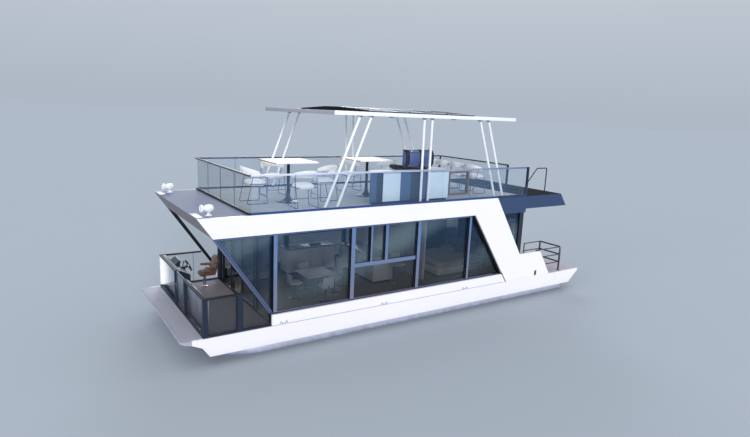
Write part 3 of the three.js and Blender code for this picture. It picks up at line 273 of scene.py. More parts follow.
# name: colour, roughness, metallic, coat, drift, drift scale, grain scale, bump strength
paints = {
    "hullWhite": ((251, 247, 251), 0.24, 0.0, 0.5, 0.02, 0.35, 60, 0.04),
    "ribbonWhite": ((254, 250, 252), 0.22, 0.0, 0.5, 0.015, 0.35, 60, 0.04),
    "fittingWhite": ((246, 247, 250), 0.25, 0.0, 0.4, 0.03, 6.0, 300, 0.06),
    "plateWhite": ((250, 251, 255), 0.35, 0.0, 0.1, 0.03, 6.0, 300, 0.06),
    # grey-lilac end trims of the canopy: painted shade
    "canopyFasciaShade": ((168, 167, 178), 0.4, 0.0, 0.1, 0.04, 1.0, 120, 0.06),
    "canopyWhite": ((250, 251, 253), 0.3, 0.0, 0.3, 0.03, 0.8, 90, 0.05),
    "postWhite": ((248, 250, 254), 0.28, 0.0, 0.4, 0.04, 5.0, 200, 0.05),
    "frameSlate": ((94, 114, 154), 0.36, 0.1, 0.2, 0.08, 1.5, 160, 0.08),
    "terraceSlate": ((36, 46, 68), 0.36, 0.1, 0.2, 0.10, 1.5, 160, 0.08),
    "consoleSlate": ((34, 42, 68), 0.4, 0.1, 0.2, 0.08, 3.0, 220, 0.1),
    "doorSlate": ((34, 42, 58), 0.38, 0.1, 0.2, 0.08, 2.0, 160, 0.08),
    "darkRail": ((30, 34, 42), 0.34, 0.3, 0.2, 0.08, 4.0, 220, 0.06),
    "rubber": ((22, 25, 30), 0.7, 0.0, 0.0, 0.12, 6.0, 400, 0.2),
    "seamSeal": ((70, 84, 104), 0.5, 0.0, 0.0, 0.1, 6.0, 400, 0.1),
    "underAlloy": ((96, 102, 112), 0.5, 0.8, 0.0, 0.15, 1.2, 90, 0.15),
    "rackAlloy": ((40, 43, 50), 0.4, 0.7, 0.0, 0.1, 2.0, 150, 0.1),
    "driveBlack": ((34, 38, 46), 0.42, 0.2, 0.3, 0.1, 4.0, 180, 0.12),
    "brassBolt": ((196, 168, 84), 0.35, 0.9, 0.0, 0.15, 20.0, 400, 0.1),
    "tableBlack": ((24, 26, 30), 0.35, 0.3, 0.2, 0.1, 5.0, 200, 0.08),
    "tableFoot": ((48, 64, 96), 0.4, 0.1, 0.2, 0.1, 5.0, 200, 0.1),
    "barDark": ((70, 98, 140), 0.4, 0.0, 0.2, 0.07, 3.0, 120, 0.06),
    "barDarker": ((42, 54, 78), 0.4, 0.0, 0.2, 0.07, 3.0, 120, 0.06),
    "barLight": ((220, 240, 252), 0.38, 0.0, 0.2, 0.05, 3.0, 120, 0.06),
    "counterWhite": ((246, 247, 250), 0.3, 0.0, 0.3, 0.03, 4.0, 200, 0.05),
    "grillNavy": ((104, 122, 172), 0.38, 0.8, 0.3, 0.1, 4.0, 200, 0.04),
    "grillBand": ((30, 34, 48), 0.4, 0.2, 0.15, 0.1, 6.0, 200, 0.06),
    "castIron": ((26, 27, 30), 0.65, 0.5, 0.0, 0.2, 9.0, 260, 0.5),
    "wheelBlack": ((30, 32, 36), 0.45, 0.0, 0.2, 0.12, 8.0, 500, 0.2),
    "blindSlate": ((84, 100, 112), 0.55, 0.0, 0.0, 0.1, 2.0, 120, 0.1),
    "gapBlack": ((10, 12, 18), 0.6, 0.0, 0.0, 0.1, 6.0, 300, 0.1),
    "studBrown": ((62, 46, 36), 0.5, 0.2, 0.0, 0.1, 9.0, 300, 0.1),
    "pinBlue": ((52, 74, 150), 0.4, 0.0, 0.1, 0.1, 4.0, 200, 0.06),
    "seamBlue": ((176, 194, 238), 0.4, 0.0, 0.0, 0.04, 3.0, 200, 0.04),
    "moduleSilver": ((206, 214, 232), 0.34, 0.3, 0.2, 0.05, 3.0, 200, 0.05),
    "saloonPanel": ((238, 238, 236), 0.45, 0.0, 0.1, 0.04, 2.0, 200, 0.06),
    "saloonTop": ((150, 152, 156), 0.3, 0.0, 0.3, 0.1, 6.0, 300, 0.05),
    "cabinOak": ((158, 146, 130), 0.5, 0.0, 0.1, 0.16, 3.0, 160, 0.15),
}


mattPaints = ("gapBlack", "studBrown")
ribbonSkin = 2.186  # metres from the middle line; the ribbon's faces inboard of it are dark


def partOf(value, low=None, high=None):
    # 1 where the value lies between the limits, 0 elsewhere
    mask = 1.0
    if low is not None:
        mask = times(mask, mathNode("GREATER_THAN", value, low))
    if high is not None:
        mask = times(mathNode("LESS_THAN", value, high), mask)
    return mask


def makePaints():
    for name, (colour, roughness, metallic, coat, drift, driftScale, grain, strength) in paints.items():
        shader, vector = newMaterial(name, colour, roughness, metallic, Coat_Weight=coat,
                                     Coat_Roughness=0.08)
        if name in mattPaints:
            shader.inputs["Specular IOR Level"].default_value = 0.1
        colourNow = colour
        if name in ("hullWhite", "ribbonWhite"):
            stainAndShade = placeGroup("waterStainAndShade", Vector=vector, Color=colourNow,
                               Mark_Color=(190, 194, 206), Level=0.85, Reach=0.25, Amount=0.2)
            colourNow = stainAndShade["Color"]
        if name == "ribbonWhite":
            x, y, z = splitVector(vector)
            inner = partOf(mathNode("ABSOLUTE", y), high=ribbonSkin)
            colourNow = mixColour(inner, colourNow, (66, 80, 128))
        withSurface(shader, vector, colourNow, roughness, drift, driftScale, float(grain),
                    0.12, (strength, 0.002))


def addSteel():
    # polished tube with fine lines drawn along it
    shader, vector = newMaterial("polishedSteel", (214, 217, 224), 0.16, 1.0)
    drawn = noiseNode(scaledVector(vector, (40, 400, 400)), 3.0, 3.0)
    withSurface(shader, vector, (206, 210, 220), 0.17, 0.08, 6.0, 300.0, 0.16, (0.05, 0.0005), drawn)
    for name, colour, roughness, metallic, drift in (("frameWire", (84, 100, 136), 0.36, 0.3, 0.08),
                                                     ("railSteel", (112, 100, 104), 0.26, 1.0, 0.1)):
        shader, vector = newMaterial(name, colour, roughness, metallic)
        withSurface(shader, vector, colour, roughness, drift, 6.0, 300.0, 0.14, (0.05, 0.0005))


def addPontoonAlloy():
    # welded sheet, chalky above the water; towards the water it darkens with painted shade where the tube curves
    # under, and with a water stain
    shader, vector = newMaterial("pontoonAlloy", (214, 218, 234), 0.42, 0.2)
    x, y, z = splitVector(vector)
    # painted shade: pale high on the tube, greyer towards the waterline
    rise = rangeNode(z, 0.56, 0.84)
    pale = mixColour(rise, (168, 176, 208), (232, 233, 246))
    # the dark band at the waterline is part water stain, part painted shade
    stainAndShade = placeGroup("waterStainAndShade", Vector=vector, Color=pale,
                       Mark_Color=(104, 112, 128), Level=0.6, Reach=0.14, Amount=0.5)
    sheets = placeGroup("jointLines", Coordinate=x, Pitch=1.52, Width=0.012)
    rolled = noiseNode(scaledVector(vector, (1, 14, 14)), 2.0, 3.0)
    height = minus(times(rolled, 0.3), sheets["Mask"])
    colour = mixColour(times(sheets["Mask"], 0.35), stainAndShade["Color"], (130, 138, 156))
    withSurface(shader, vector, colour, 0.4, 0.04, 0.7, 70.0, 0.14, (0.2, 0.003), height)


# name: colour, speck colour, speck scale, speck amount, roughness, board pitch in metres, board axis
decks = {
    "bowRoof": ((112, 122, 148), (92, 99, 121), 420.0, 0.25, 0.6, None, None),
    "bowPlatform": ((176, 177, 190), (124, 128, 148), 300.0, 0.25, 0.62, 0.36, "X"),
    "terraceFloor": ((176, 168, 178), (120, 114, 122), 240.0, 0.35, 0.75, 0.30, "Y"),
    "sternFloor": ((190, 182, 196), (140, 130, 140), 240.0, 0.3, 0.72, 0.14, "Y"),
    "upperFloor": ((172, 181, 192), (128, 134, 144), 260.0, 0.3, 0.7, 0.145, "Y"),
}


def addDecks():
    for name, (colour, speck, scale, amount, roughness, pitch, axis) in decks.items():
        shader, vector = newMaterial(name, colour, roughness)
        x, y, z = splitVector(vector)
        specks = placeGroup("speckle", Vector=vector, Color=colour, Speck_Color=speck,
                            Scale=scale, Amount=amount)
        colourNow, height = specks["Color"], specks["Height"]
        scuffed = noiseNode(scaledVector(vector, (3.0, 0.8, 1.0)), 1.6, 6.0, 0.65)
        colourNow = mixColour(rangeNode(scuffed, 0.52, 0.75, 0.0, 0.25), colourNow,
                              tuple(channel * 0.82 for channel in colour))
        if pitch:
            lines = placeGroup("jointLines", Coordinate=x if axis == "X" else y, Pitch=pitch, Width=0.006)
            dark = times(lines["Mask"], 0.55)
            colourNow = mixColour(dark, colourNow, tuple(channel * 0.6 for channel in colour))
            height = minus(times(height, 0.3), lines["Mask"])
        # painted shade tone: the faces below the roof's top, the raked face among them, take their own warmer grey
        if name == "bowRoof":
            colourNow = mixColour(partOf(z, high=roofZ * mm - 0.002), colourNow, (134, 128, 134))
        if name == "terraceFloor":
            colourNow = mixColour(partOf(x, low=6.63), colourNow, (40, 44, 56))
        withSurface(shader, vector, colourNow, roughness, 0.07, 0.6, 120.0, 0.12, (0.25, 0.0015), height)


def addRoofPaint():
    # satin fascia with a dark, rough top
    shader, vector = newMaterial("aftRoofPaint", (62, 80, 112), 0.5, Specular_IOR_Level=0.06)
    x, y, z = splitVector(vector)
    top = mathNode("GREATER_THAN", z, 4.2575)
    specks = placeGroup("speckle", Vector=vector, Color=(22, 26, 34), Speck_Color=(10, 12, 16),
                        Scale=260.0, Amount=0.5)
    colour = mixColour(top, (62, 80, 112), specks["Color"])
    rough = rangeNode(top, 0.0, 1.0, 0.38, 0.85)
    withSurface(shader, vector, colour, rough, 0.06, 0.8, 120.0, 0.1, (0.15, 0.001),
                times(specks["Height"], top))


def addWood():
    for name, colour, dark in (("tableWood", (206, 170, 116), (156, 116, 68)),
                               ("barWood", (136, 112, 98), (92, 74, 64))):
        shader, vector = newMaterial(name, colour, 0.5, Coat_Weight=0.15, Coat_Roughness=0.3)
        rings = noiseNode(scaledVector(vector, (3, 22, 22)), 2.5, 6.0, 0.6)
        fibre = noiseNode(scaledVector(vector, (12, 420, 420)), 1.5, 4.0)
        figure = plus(times(rings, 0.7), times(fibre, 0.3))
        colourNow = mixColour(rangeNode(figure, 0.38, 0.62), dark, colour)
        withSurface(shader, vector, colourNow, 0.48, 0.06, 4.0, 200.0, 0.16, (0.2, 0.001), figure)


def addSoft():
    for name, colour in (("cushionCloth", (248, 248, 252)), ("shellCloth", (244, 244, 247)),
                         ("linenCloth", (226, 221, 212)), ("sofaCloth", (168, 166, 164))):
        shader, vector = newMaterial(name, colour, 0.85, Sheen_Weight=0.3, Sheen_Roughness=0.5)
        threads = placeGroup("weave", Vector=vector, Threads=2600.0)
        creases = noiseNode(vector, 14.0, 4.0)
        height = plus(times(threads["Height"], 0.35), creases)
        withSurface(shader, vector, colour, 0.85, 0.06, 7.0, 500.0, 0.1, (0.3, 0.0015), height)
    shader, vector = newMaterial("brownLeather", (110, 80, 66), 0.38, Coat_Weight=0.25, Coat_Roughness=0.35)
    folds = noiseNode(scaledVector(vector, (1.0, 2.6, 1.0)), 9.0, 5.0, 0.6)
    colour = mixColour(rangeNode(folds, 0.42, 0.68), (88, 62, 50), (136, 106, 90))
    # painted sheen: the middle panels of the pad and the back are paler and greyer
    x, y, z = splitVector(vector)
    aside = mathNode("ABSOLUTE", plus(y, 1.645))
    middle = times(partOf(aside, high=0.125), partOf(z, low=1.93))
    colour = mixColour(middle, colour, (120, 103, 94))
    height = plus(times(cellsNode(vector, 260.0), 0.4), folds)
    withSurface(shader, vector, colour, 0.42, 0.1, 5.0, 300.0, 0.2, (0.35, 0.002), height)


def glassMaterial(name, top, bottom, lowZ, highZ, roughness=0.04):
    # tinted glass with a painted reflection: its colour runs from the lower tone up to the upper one
    shader, vector = newMaterial(name, top, roughness)
    axes = splitVector(vector)
    smear = noiseNode(scaledVector(vector, (1.0, 1.0, 0.4)), 1.1, 5.0, 0.6)
    rise = plus(rangeNode(axes[2], lowZ * mm, highZ * mm), rangeNode(smear, 0.3, 0.7, -0.1, 0.1))
    colour = mixColour(rise, bottom, top)
    feed(shader.inputs["Base Color"], colour)
    feed(shader.inputs["Roughness"], rangeNode(smear, 0.3, 0.75, roughness, roughness + 0.06))
    addBump(shader, noiseNode(vector, 1.3, 2.0), 0.04, 0.004)
    return shader, colour, axes


def addGlass():
    # where the starboard side, the gate, the bare pane, the rail's bow end and the terrace's front lie, in metres
    starboard, gateEdge, bareFrom, bowFrom, frontFrom = -1.9, -0.405, 4.94, 5.52, 6.55
    shader, base, (x, y, z) = glassMaterial("windowGlass", (30, 62, 92), (42, 47, 48), 1700, 3400)
    # a soft slanting sheen over the big panes
    sheen = plus(times(x, 0.42), minus(z, 0.64))
    sheen = mathNode("SINE", times(sheen, 2.6))
    sheen = times(rangeNode(sheen, 0.1, 1.0), rangeNode(z, 1.9, 3.0, 0.15, 0.75))
    colour = mixColour(sheen, base, (112, 138, 152))
    # the starboard pane ahead of the cabin has hardly any tint
    clear = times(partOf(y, high=starboard), partOf(x, low=bareFrom))
    feed(shader.inputs["Base Color"], mixColour(clear, colour, (150, 176, 190)))
    feed(shader.inputs["Alpha"], rangeNode(clear, 0.0, 1.0, 0.42, 0.08))
    shader, base, (x, y, z) = glassMaterial("frontGlass", (30, 40, 50), (36, 42, 46), 1500, 3600)
    feed(shader.inputs["Alpha"], rangeNode(partOf(y, high=starboard), 0.0, 1.0, 0.36, 0.1))
    shader, base, (x, y, z) = glassMaterial("railGlass", (104, 148, 190), (112, 140, 166), 4260, 5200, 0.02)
    bowEnd = partOf(x, low=bowFrom)
    feed(shader.inputs["Base Color"], mixColour(bowEnd, base, (78, 98, 104)))
    feed(shader.inputs["Alpha"], rangeNode(bowEnd, 0.0, 1.0, 0.11, 0.16))
    # painted reflections: the front panels are pale towards the top, and the starboard one is white with a dark wedge
    # at its foot
    shader, base, (x, y, z) = glassMaterial("terraceGlass", (50, 58, 66), (42, 48, 54), 1400, 2300)
    front = partOf(x, low=frontFrom)
    rise = rangeNode(z, 1.45, 2.22)
    pale = mixColour(mathNode("POWER", rise, 1.6), (34, 42, 54), (150, 168, 184))
    whiteReflection = mixColour(rangeNode(y, -1.62, -1.1), (255, 255, 255), (160, 176, 190))
    footLine = plus(times(plus(y, 2.1), 0.36), 1.40)
    footLine = minus(z, footLine)
    whiteReflection = mixColour(rangeNode(footLine, -0.03, 0.05), (48, 54, 62), whiteReflection)
    facing = mixColour(partOf(y, high=gateEdge), pale, whiteReflection)
    feed(shader.inputs["Base Color"], mixColour(front, base, facing))
    opaque = times(partOf(y, high=gateEdge), front)
    far = times(partOf(y, high=starboard), partOf(x, high=frontFrom - 0.01))
    cover = plus(times(front, 0.15), 0.36)
    cover = plus(times(opaque, 0.45), cover)
    feed(shader.inputs["Alpha"], minus(cover, times(far, 0.26)))


def addSolar():
    # dark cells between fine silver lines
    shader, vector = newMaterial("solarCells", (16, 20, 32), 0.5, Specular_IOR_Level=0.04)
    x, y, z = splitVector(vector)
    rows = placeGroup("jointLines", Coordinate=x, Pitch=0.158, Width=0.005)["Mask"]
    columns = placeGroup("jointLines", Coordinate=y, Pitch=0.158, Width=0.005)["Mask"]
    fingers = placeGroup("jointLines", Coordinate=y, Pitch=0.0527, Width=0.0016)["Mask"]
    grid = mathNode("MAXIMUM", mathNode("MAXIMUM", rows, columns), times(fingers, 0.5))
    patchy = noiseNode(vector, 5.0, 2.0)
    cell = mixColour(rangeNode(patchy, 0.35, 0.65), (12, 16, 28), (24, 30, 46))
    colour = mixColour(times(grid, 0.5), cell, (120, 128, 140))
    withSurface(shader, vector, colour, 0.5, 0.06, 3.0, 60.0, 0.08, (0.03, 0.0005))


def addUpperRailPaint():
    # bronze over the bow end, a painted pale lavender glint along port that fades to slate aft, near black elsewhere;
    # a blue foot channel
    shader, vector = newMaterial("upperRailPaint", (134, 165, 202), 0.4, 0.1, Specular_IOR_Level=0.3)
    x, y, z = splitVector(vector)
    # where the bow end begins and port ends, and how high the cap begins, in metres
    bowFrom, portEnd, capFrom = 5.545, -3.97, 4.6
    bowEnd = partOf(x, low=bowFrom)
    # painted glint: the port cap is pale towards the bow and slate aft
    port = mixColour(rangeNode(x, -3.6, 5.0), (100, 116, 156), (222, 230, 250))
    port = mixColour(partOf(x, high=portEnd), port, (34, 38, 52))
    far = mixColour(rangeNode(x, -1.0, 5.0), (24, 26, 32), (46, 54, 82))
    cap = mixColour(partOf(y, low=2.1), far, port)
    cap = mixColour(bowEnd, cap, (72, 63, 55))
    low = mixColour(bowEnd, (50, 78, 134), (28, 34, 38))
    low = mixColour(partOf(x, high=-2.7), low, (50, 62, 96))
    colour = mixColour(partOf(z, low=capFrom), low, cap)
    withSurface(shader, vector, colour, 0.4, 0.08, 2.0, 180.0, 0.14, (0.08, 0.001))


# the inner edge of the raked brace ahead of the cabin: X and Z of its foot and head
braceLine = ((4939, 1684), (6341, 3756))


def addFramePaint():
    # slate window frames: reveals near black with painted shade, dark corner posts, paler bars, banded head and sill
    shader, vector = newMaterial("windowFramePaint", (94, 114, 154), 0.38, 0.1, Coat_Weight=0.15)
    x, y, z = splitVector(vector)
    # the top of the sill, the foot of the head, the raked braces, the aft quarter and the outer skin, in metres
    sillTop, headFoot, braceFrom, aftFrom, skin = 1.692, 3.702, 4.936, -2.9, 2.174
    bars = mixColour(rangeNode(z, 1.8, 3.6), (118, 126, 148), (98, 130, 178))
    # the raked braces are rolled lengthwise in three bands
    footX, footZ = braceLine[0]
    slope = 0.677  # metres forward for each metre up
    run = times(minus(z, footZ * mm), slope)
    band = minus(minus(x, footX * mm), run)
    braceColour = mixColour(partOf(band, 0.034, 0.052), (76, 92, 128), (48, 60, 96))
    braceColour = mixColour(partOf(band, low=0.088), braceColour, (94, 108, 144))
    bars = mixColour(partOf(x, low=braceFrom), bars, braceColour)
    head = mixColour(partOf(z, headFoot + 0.02, headFoot + 0.038), (84, 112, 162), (34, 46, 82))
    sill = mixColour(partOf(z, high=sillTop - 0.018), (98, 104, 134), (24, 36, 76))
    bars = mixColour(partOf(z, low=headFoot), bars, head)
    bars = mixColour(partOf(z, high=sillTop), bars, sill)
    bars = mixColour(partOf(x, high=aftFrom), bars, (34, 40, 58))
    # painted shade: the reveals inside the openings are near black
    side = mathNode("ABSOLUTE", y)
    reveal = times(partOf(side, high=skin), partOf(z, low=sillTop + 0.003))
    colour = mixColour(reveal, bars, (18, 22, 32))
    withSurface(shader, vector, colour, 0.38, 0.08, 1.5, 160.0, 0.14, (0.08, 0.001))
    # the terrace's frames are darker; the white corner post at starboard is painted reflection, carried on from the
    # glass beside it
    shader, vector = newMaterial("terraceFramePaint", (36, 46, 64), 0.45, Specular_IOR_Level=0.25)
    x, y, z = splitVector(vector)
    corner = times(partOf(y, high=-1.95), partOf(x, low=6.54))
    corner = times(corner, partOf(z, 1.42, 2.29))
    rail = mixColour(partOf(z, low=2.29), (36, 46, 64), (34, 38, 44))
    colour = mixColour(corner, rail, (252, 253, 255))
    withSurface(shader, vector, colour, 0.45, 0.08, 1.5, 160.0, 0.14, (0.08, 0.001))


def addSmallOnes():
    shader, vector = newMaterial("lampLens", (235, 240, 246), 0.08, Coat_Weight=0.5)
    withSurface(shader, vector, (228, 236, 244), 0.09, 0.05, 30.0, 300.0, 0.06, (0.1, 0.001))
    shader, vector = newMaterial("screenGlass", (30, 44, 46), 0.1, Coat_Weight=0.6)
    withSurface(shader, vector, (34, 52, 54), 0.1, 0.2, 9.0, 300.0, 0.08, (0.03, 0.0005))
    # the floor is as bright as the sky's lower edge, so they meet without a line
    colour = (0.45, 0.498, 0.55)
    shader, vector = newMaterial("studioFloor", colour, 0.9, Specular_IOR_Level=0.0)
    withSurface(shader, vector, colour, 0.9, 0.005, 0.2, 20.0, 0.05, (0.02, 0.001))


for build in (makePaints, addSteel, addPontoonAlloy, addDecks, addRoofPaint, addWood, addSoft, addGlass, addSolar,
              addUpperRailPaint, addFramePaint, addSmallOnes):
    build()
print("materials made:", len(bpy.data.materials))


def finish(name):
    return bpy.data.materials[name]


studio = {
    "horizon": (0.425, 0.487, 0.56), "zenith": (0.75, 0.78, 0.83),
    "floorSize": 600.0,  # metres, from the middle to the edge
    # the side each distant lamp shines from, its spread in degrees, strength and colour
    "lamps": {
        "key": ((8, 38, 9), 18.0, 1.6, (1.0, 0.99, 0.98)),
        "fill": ((26, 4, 8), 24.0, 0.5, (0.92, 0.94, 1.0)),
        "back": ((-10, -20, 8), 24.0, 0.95, (0.92, 0.95, 1.0)),
    },
}


def makeStudio():
    world = bpy.data.worlds.new("paleSky")
    world.use_nodes = True
    background = world.node_tree.nodes["Background"]
    tree = world.node_tree
    up = splitVector(tree.nodes.new("ShaderNodeTexCoord").outputs["Generated"])[2]
    sky = mixColour(rangeNode(up, 0.02, 0.6), studio["horizon"], studio["zenith"])
    feed(background.inputs["Color"], sky)
    bpy.context.scene.world = world
    for name, (side, spread, strength, colour) in studio["lamps"].items():
        data = bpy.data.lights.new(name, "SUN")
        data.angle = math.radians(spread)
        data.energy = strength
        data.color = colour
        lamp = placed(name, data)
        lamp.location = side
        lamp.rotation_euler = (-Vector(side)).to_track_quat("-Z", "Y").to_euler()
    bm = bmesh.new()
    level = Matrix.Translation((0, 0, waterline * mm))
    bmesh.ops.create_grid(bm, x_segments=1, y_segments=1, size=studio["floorSize"], matrix=level)
    mesh = bpy.data.meshes.new("studioFloor")
    bm.to_mesh(mesh)
    bm.free()
    mesh.materials.append(finish("studioFloor"))
    placed("studioFloor", mesh)


makeStudio()
print("studio ready")


# Shapes: each is its own bmesh in millimetres, moved into a piece when it is done

def bevelled(part, edges, width, segments=2):
    bmesh.ops.bevel(part, geom=edges, offset=width, segments=segments, profile=0.5, affect="EDGES", material=-1)
    return part


def outward(part):
    bmesh.ops.recalc_face_normals(part, faces=part.faces)
    return part


def newVerts(made):
    return [item for item in made["geom"] if isinstance(item, bmesh.types.BMVert)]


def boxPart(low, high, edge=0.0, segments=2):
    part = bmesh.new()
    bmesh.ops.create_cube(part, size=1.0)
    bmesh.ops.scale(part, vec=[b - a for a, b in zip(low, high)], verts=part.verts)
    bmesh.ops.translate(part, vec=[(a + b) / 2 for a, b in zip(low, high)], verts=part.verts)
    return bevelled(part, part.edges[:], edge, segments) if edge else part


def rodPart(start, end, radius, sides=16, edge=0.0):
    part = bmesh.new()
    start, end = Vector(start), Vector(end)
    bmesh.ops.create_cone(part, cap_ends=True, segments=sides, radius1=radius, radius2=radius,
                          depth=(end - start).length)
    if edge:
        bevelled(part, [e for e in part.edges if abs(e.verts[0].co.z - e.verts[1].co.z) < 1e-6], edge)
    turn = (end - start).to_track_quat("Z", "Y").to_matrix().to_4x4()
    return moved(part, Matrix.Translation((start + end) / 2) @ turn)


def turnedPart(profile, steps=32):
    # profile gives radius and height; the axis is +Z
    part = bmesh.new()
    verts = [part.verts.new((radius, 0, height)) for radius, height in profile]
    edges = [part.edges.new(pair) for pair in zip(verts, verts[1:])]
    bmesh.ops.spin(part, geom=verts + edges, cent=(0, 0, 0), axis=(0, 0, 1), angle=math.tau, steps=steps,
                   use_merge=True)
    bmesh.ops.remove_doubles(part, verts=part.verts, dist=0.01)
    return outward(part)


planes = {"x": lambda u, v: (0, u, v), "y": lambda u, v: (u, 0, v), "z": lambda u, v: (u, v, 0)}


def alongOnly(axis, length):
    return [length if name == axis else 0 for name in "xyz"]


def outlineFace(outline, axis, start):
    # one flat face across the axis
    part = bmesh.new()
    face = part.faces.new([part.verts.new(planes[axis](u, v)) for u, v in outline])
    bmesh.ops.translate(part, vec=alongOnly(axis, start), verts=part.verts)
    return part, face


def thicken(part, axis, length):
    made = bmesh.ops.extrude_face_region(part, geom=part.faces[:], use_keep_orig=True)
    bmesh.ops.translate(part, vec=alongOnly(axis, length), verts=newVerts(made))
    return outward(part)


def platePart(outline, axis, start, end, edge=0.0, segments=2):
    # an outline in the plane across the axis, made solid from start to end
    part = thicken(outlineFace(outline, axis, start)[0], axis, end - start)
    return bevelled(part, part.edges[:], edge, segments) if edge else part


def ringPart(outline, axis, start, end, width):
    # a frame of the given width inside an outline
    part, face = outlineFace(outline, axis, start)
    bmesh.ops.inset_region(part, faces=[face], thickness=width, use_even_offset=True)
    bmesh.ops.delete(part, geom=[face], context="FACES_ONLY")
    return thicken(part, axis, end - start)


def bentPath(points, bend, steps=6):
    # rounds a path's corners to a radius
    path = [points[0]]
    for before, corner, after in zip(points, points[1:], points[2:]):
        toward, onward = (before - corner).normalized(), (after - corner).normalized()
        half = toward.angle(onward) / 2
        reach = min(bend / math.tan(half), 0.45 * (before - corner).length, 0.45 * (after - corner).length)
        start, end = corner + toward * reach, corner + onward * reach
        for i in range(steps + 1):
            share = i / steps
            path.append(start.lerp(corner, share).lerp(corner.lerp(end, share), share))
    return path + [points[-1]]


def closeEnds(part):
    bmesh.ops.holes_fill(part, edges=[edge for edge in part.edges if edge.is_boundary], sides=0)


def tubePart(points, radius, bend=0.0, sides=12, steps=6):
    # rings along the path, bridged one to the next, with both ends closed
    points = [Vector(point) for point in points]
    path = bentPath(points, bend, steps) if bend else points
    part = bmesh.new()
    rings = []
    for i, place in enumerate(path):
        run = (path[min(i + 1, len(path) - 1)] - path[max(i - 1, 0)]).normalized()
        turn = lastRun.rotation_difference(run) @ lastTurn if rings else run.to_track_quat("Z", "Y")
        matrix = Matrix.Translation(place) @ turn.to_matrix().to_4x4()
        made = bmesh.ops.create_circle(part, cap_ends=False, segments=sides, radius=radius, matrix=matrix)
        rings.append(list({edge for vert in made["verts"] for edge in vert.link_edges}))
        lastRun, lastTurn = run, turn
    for one, two in zip(rings, rings[1:]):
        bmesh.ops.bridge_loops(part, edges=one + two)
    closeEnds(part)
    return outward(part)


def moved(part, matrix):
    bmesh.ops.transform(part, matrix=matrix, verts=part.verts)
    return part


def at(x, y, z):
    return Matrix.Translation((x, y, z))


def turned(degrees, axis):
    return Matrix.Rotation(math.radians(degrees), 4, axis)


def take(piece, part, slot, sign):
    # adds a shape to a piece, mirrored to starboard where the sign is -1
    if sign < 0:
        bmesh.ops.scale(part, vec=(1, -1, 1), verts=part.verts)
        bmesh.ops.reverse_faces(part, faces=part.faces)
    if slot is not None:
        for face in part.faces:
            face.material_index = slot
    scratch = bpy.data.meshes.new("scratch")
    part.to_mesh(scratch)
    part.free()
    piece.from_mesh(scratch)
    bpy.data.meshes.remove(scratch)


def makePiece(name, parts, finishes, body="hull", stands=(), place=None, sign=1, fill=None):
    # parts are shapes, or pairs of a shape and its finish's number; None keeps the faces' own numbers;
    # fill marks a soft piece, whose faces stay smooth over wider angles; as a share of padding it is not used
    piece = bmesh.new()
    for entry in parts:
        part, number = entry if isinstance(entry, tuple) else (entry, 0)
        take(piece, moved(part, place) if place else part, number, sign)
    bmesh.ops.scale(piece, vec=(mm, mm, mm), verts=piece.verts)
    for face in piece.faces:
        face.smooth = True
    mesh = bpy.data.meshes.new(name)
    piece.to_mesh(mesh)
    piece.free()
    for each in finishes:
        mesh.materials.append(finish(each))
    mesh.set_sharp_from_angle(angle=math.radians(60 if fill else 32))
    made = placed(name, mesh)
    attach(made, body)
    if stands:
        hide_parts(*stands)


sidesOfBoat = (("port", 1), ("starboard", -1))
rest = 0.3  # how far a laid piece stands over what carries it


# CAD nodes that stay: their own shape, softened edges and a real finish

# finish: its nodes, where * stands for both sides
keptNodes = {
    "hullWhite": ("hull_side_*",), "ribbonWhite": ("side_ribbon_*",), "bowPlatform": ("bow_platform",),
    "terraceFloor": ("main_deck",), "sternFloor": ("stern_platform",), "bowRoof": ("upper_deck",),
    "aftRoofPaint": ("aft_roof",), "underAlloy": ("underdeck_frame",), "driveBlack": ("drive_bracket",),
    "windowFramePaint": ("window_frame_*",), "windowGlass": ("window_glass_*", "aft_glass", "aft_door_glass"),
    "frontGlass": ("front_glass_*", "door_glass_*"), "railGlass": ("upper_glass",),
    "terraceGlass": ("terrace_glass_*", "gate_glass"), "terraceFramePaint": ("terrace_rail_*",),
    "doorSlate": ("front_frame", "door_leaf_*", "aft_wall", "aft_door", "stair"),
    "terraceSlate": ("gate_frame",), "consoleSlate": ("helm_console",), "upperRailPaint": ("upper_rail",),
}
softEdge = {"upper_rail": 6, "hull_side_*": 3, "side_ribbon_*": 3, "bow_platform": 8, "upper_deck": 10,
            "helm_console": 10, "aft_roof": 8}
usualEdge = 4


def soften(obj, width):
    weld = obj.modifiers.new("weld", "WELD")
    weld.merge_threshold = 0.0001
    bevel = obj.modifiers.new("edges", "BEVEL")
    bevel.width = width * mm
    bevel.segments = 2
    bevel.limit_method = "ANGLE"
    bevel.angle_limit = math.radians(28)
    bevel.harden_normals = False


def dressKeptNodes():
    for material, names in keptNodes.items():
        for name in names:
            for side in ("port", "starboard") if "*" in name else ("",):
                obj = nodes[name.replace("*", side)]
                obj.data.materials.clear()
                obj.data.materials.append(finish(material))
                if "glass" not in name:
                    soften(obj, softEdge.get(name, usualEdge))


dressKeptNodes()
print("kept nodes dressed")


# Pontoons: rolled tube with weld seams and a raised nose

pontoon = {
    "radius": 550, "y": 1450, "aft": -6762, "shoulder": 5000, "tip": 6250, "lift": 0.62, "steps": 72,
    "stern": ((0, 0), (0.5, 0), (0.93, 0), (0.985, 18), (1, 60)),  # share of the radius, and how far forward
    "welds": (-5320, -3800, -2280, -760, 760, 2280, 3800), "weldWide": 9, "weldTop": 3, "weldHigh": 4,
    "noseRings": 16, "nosePower": 1.7,
}


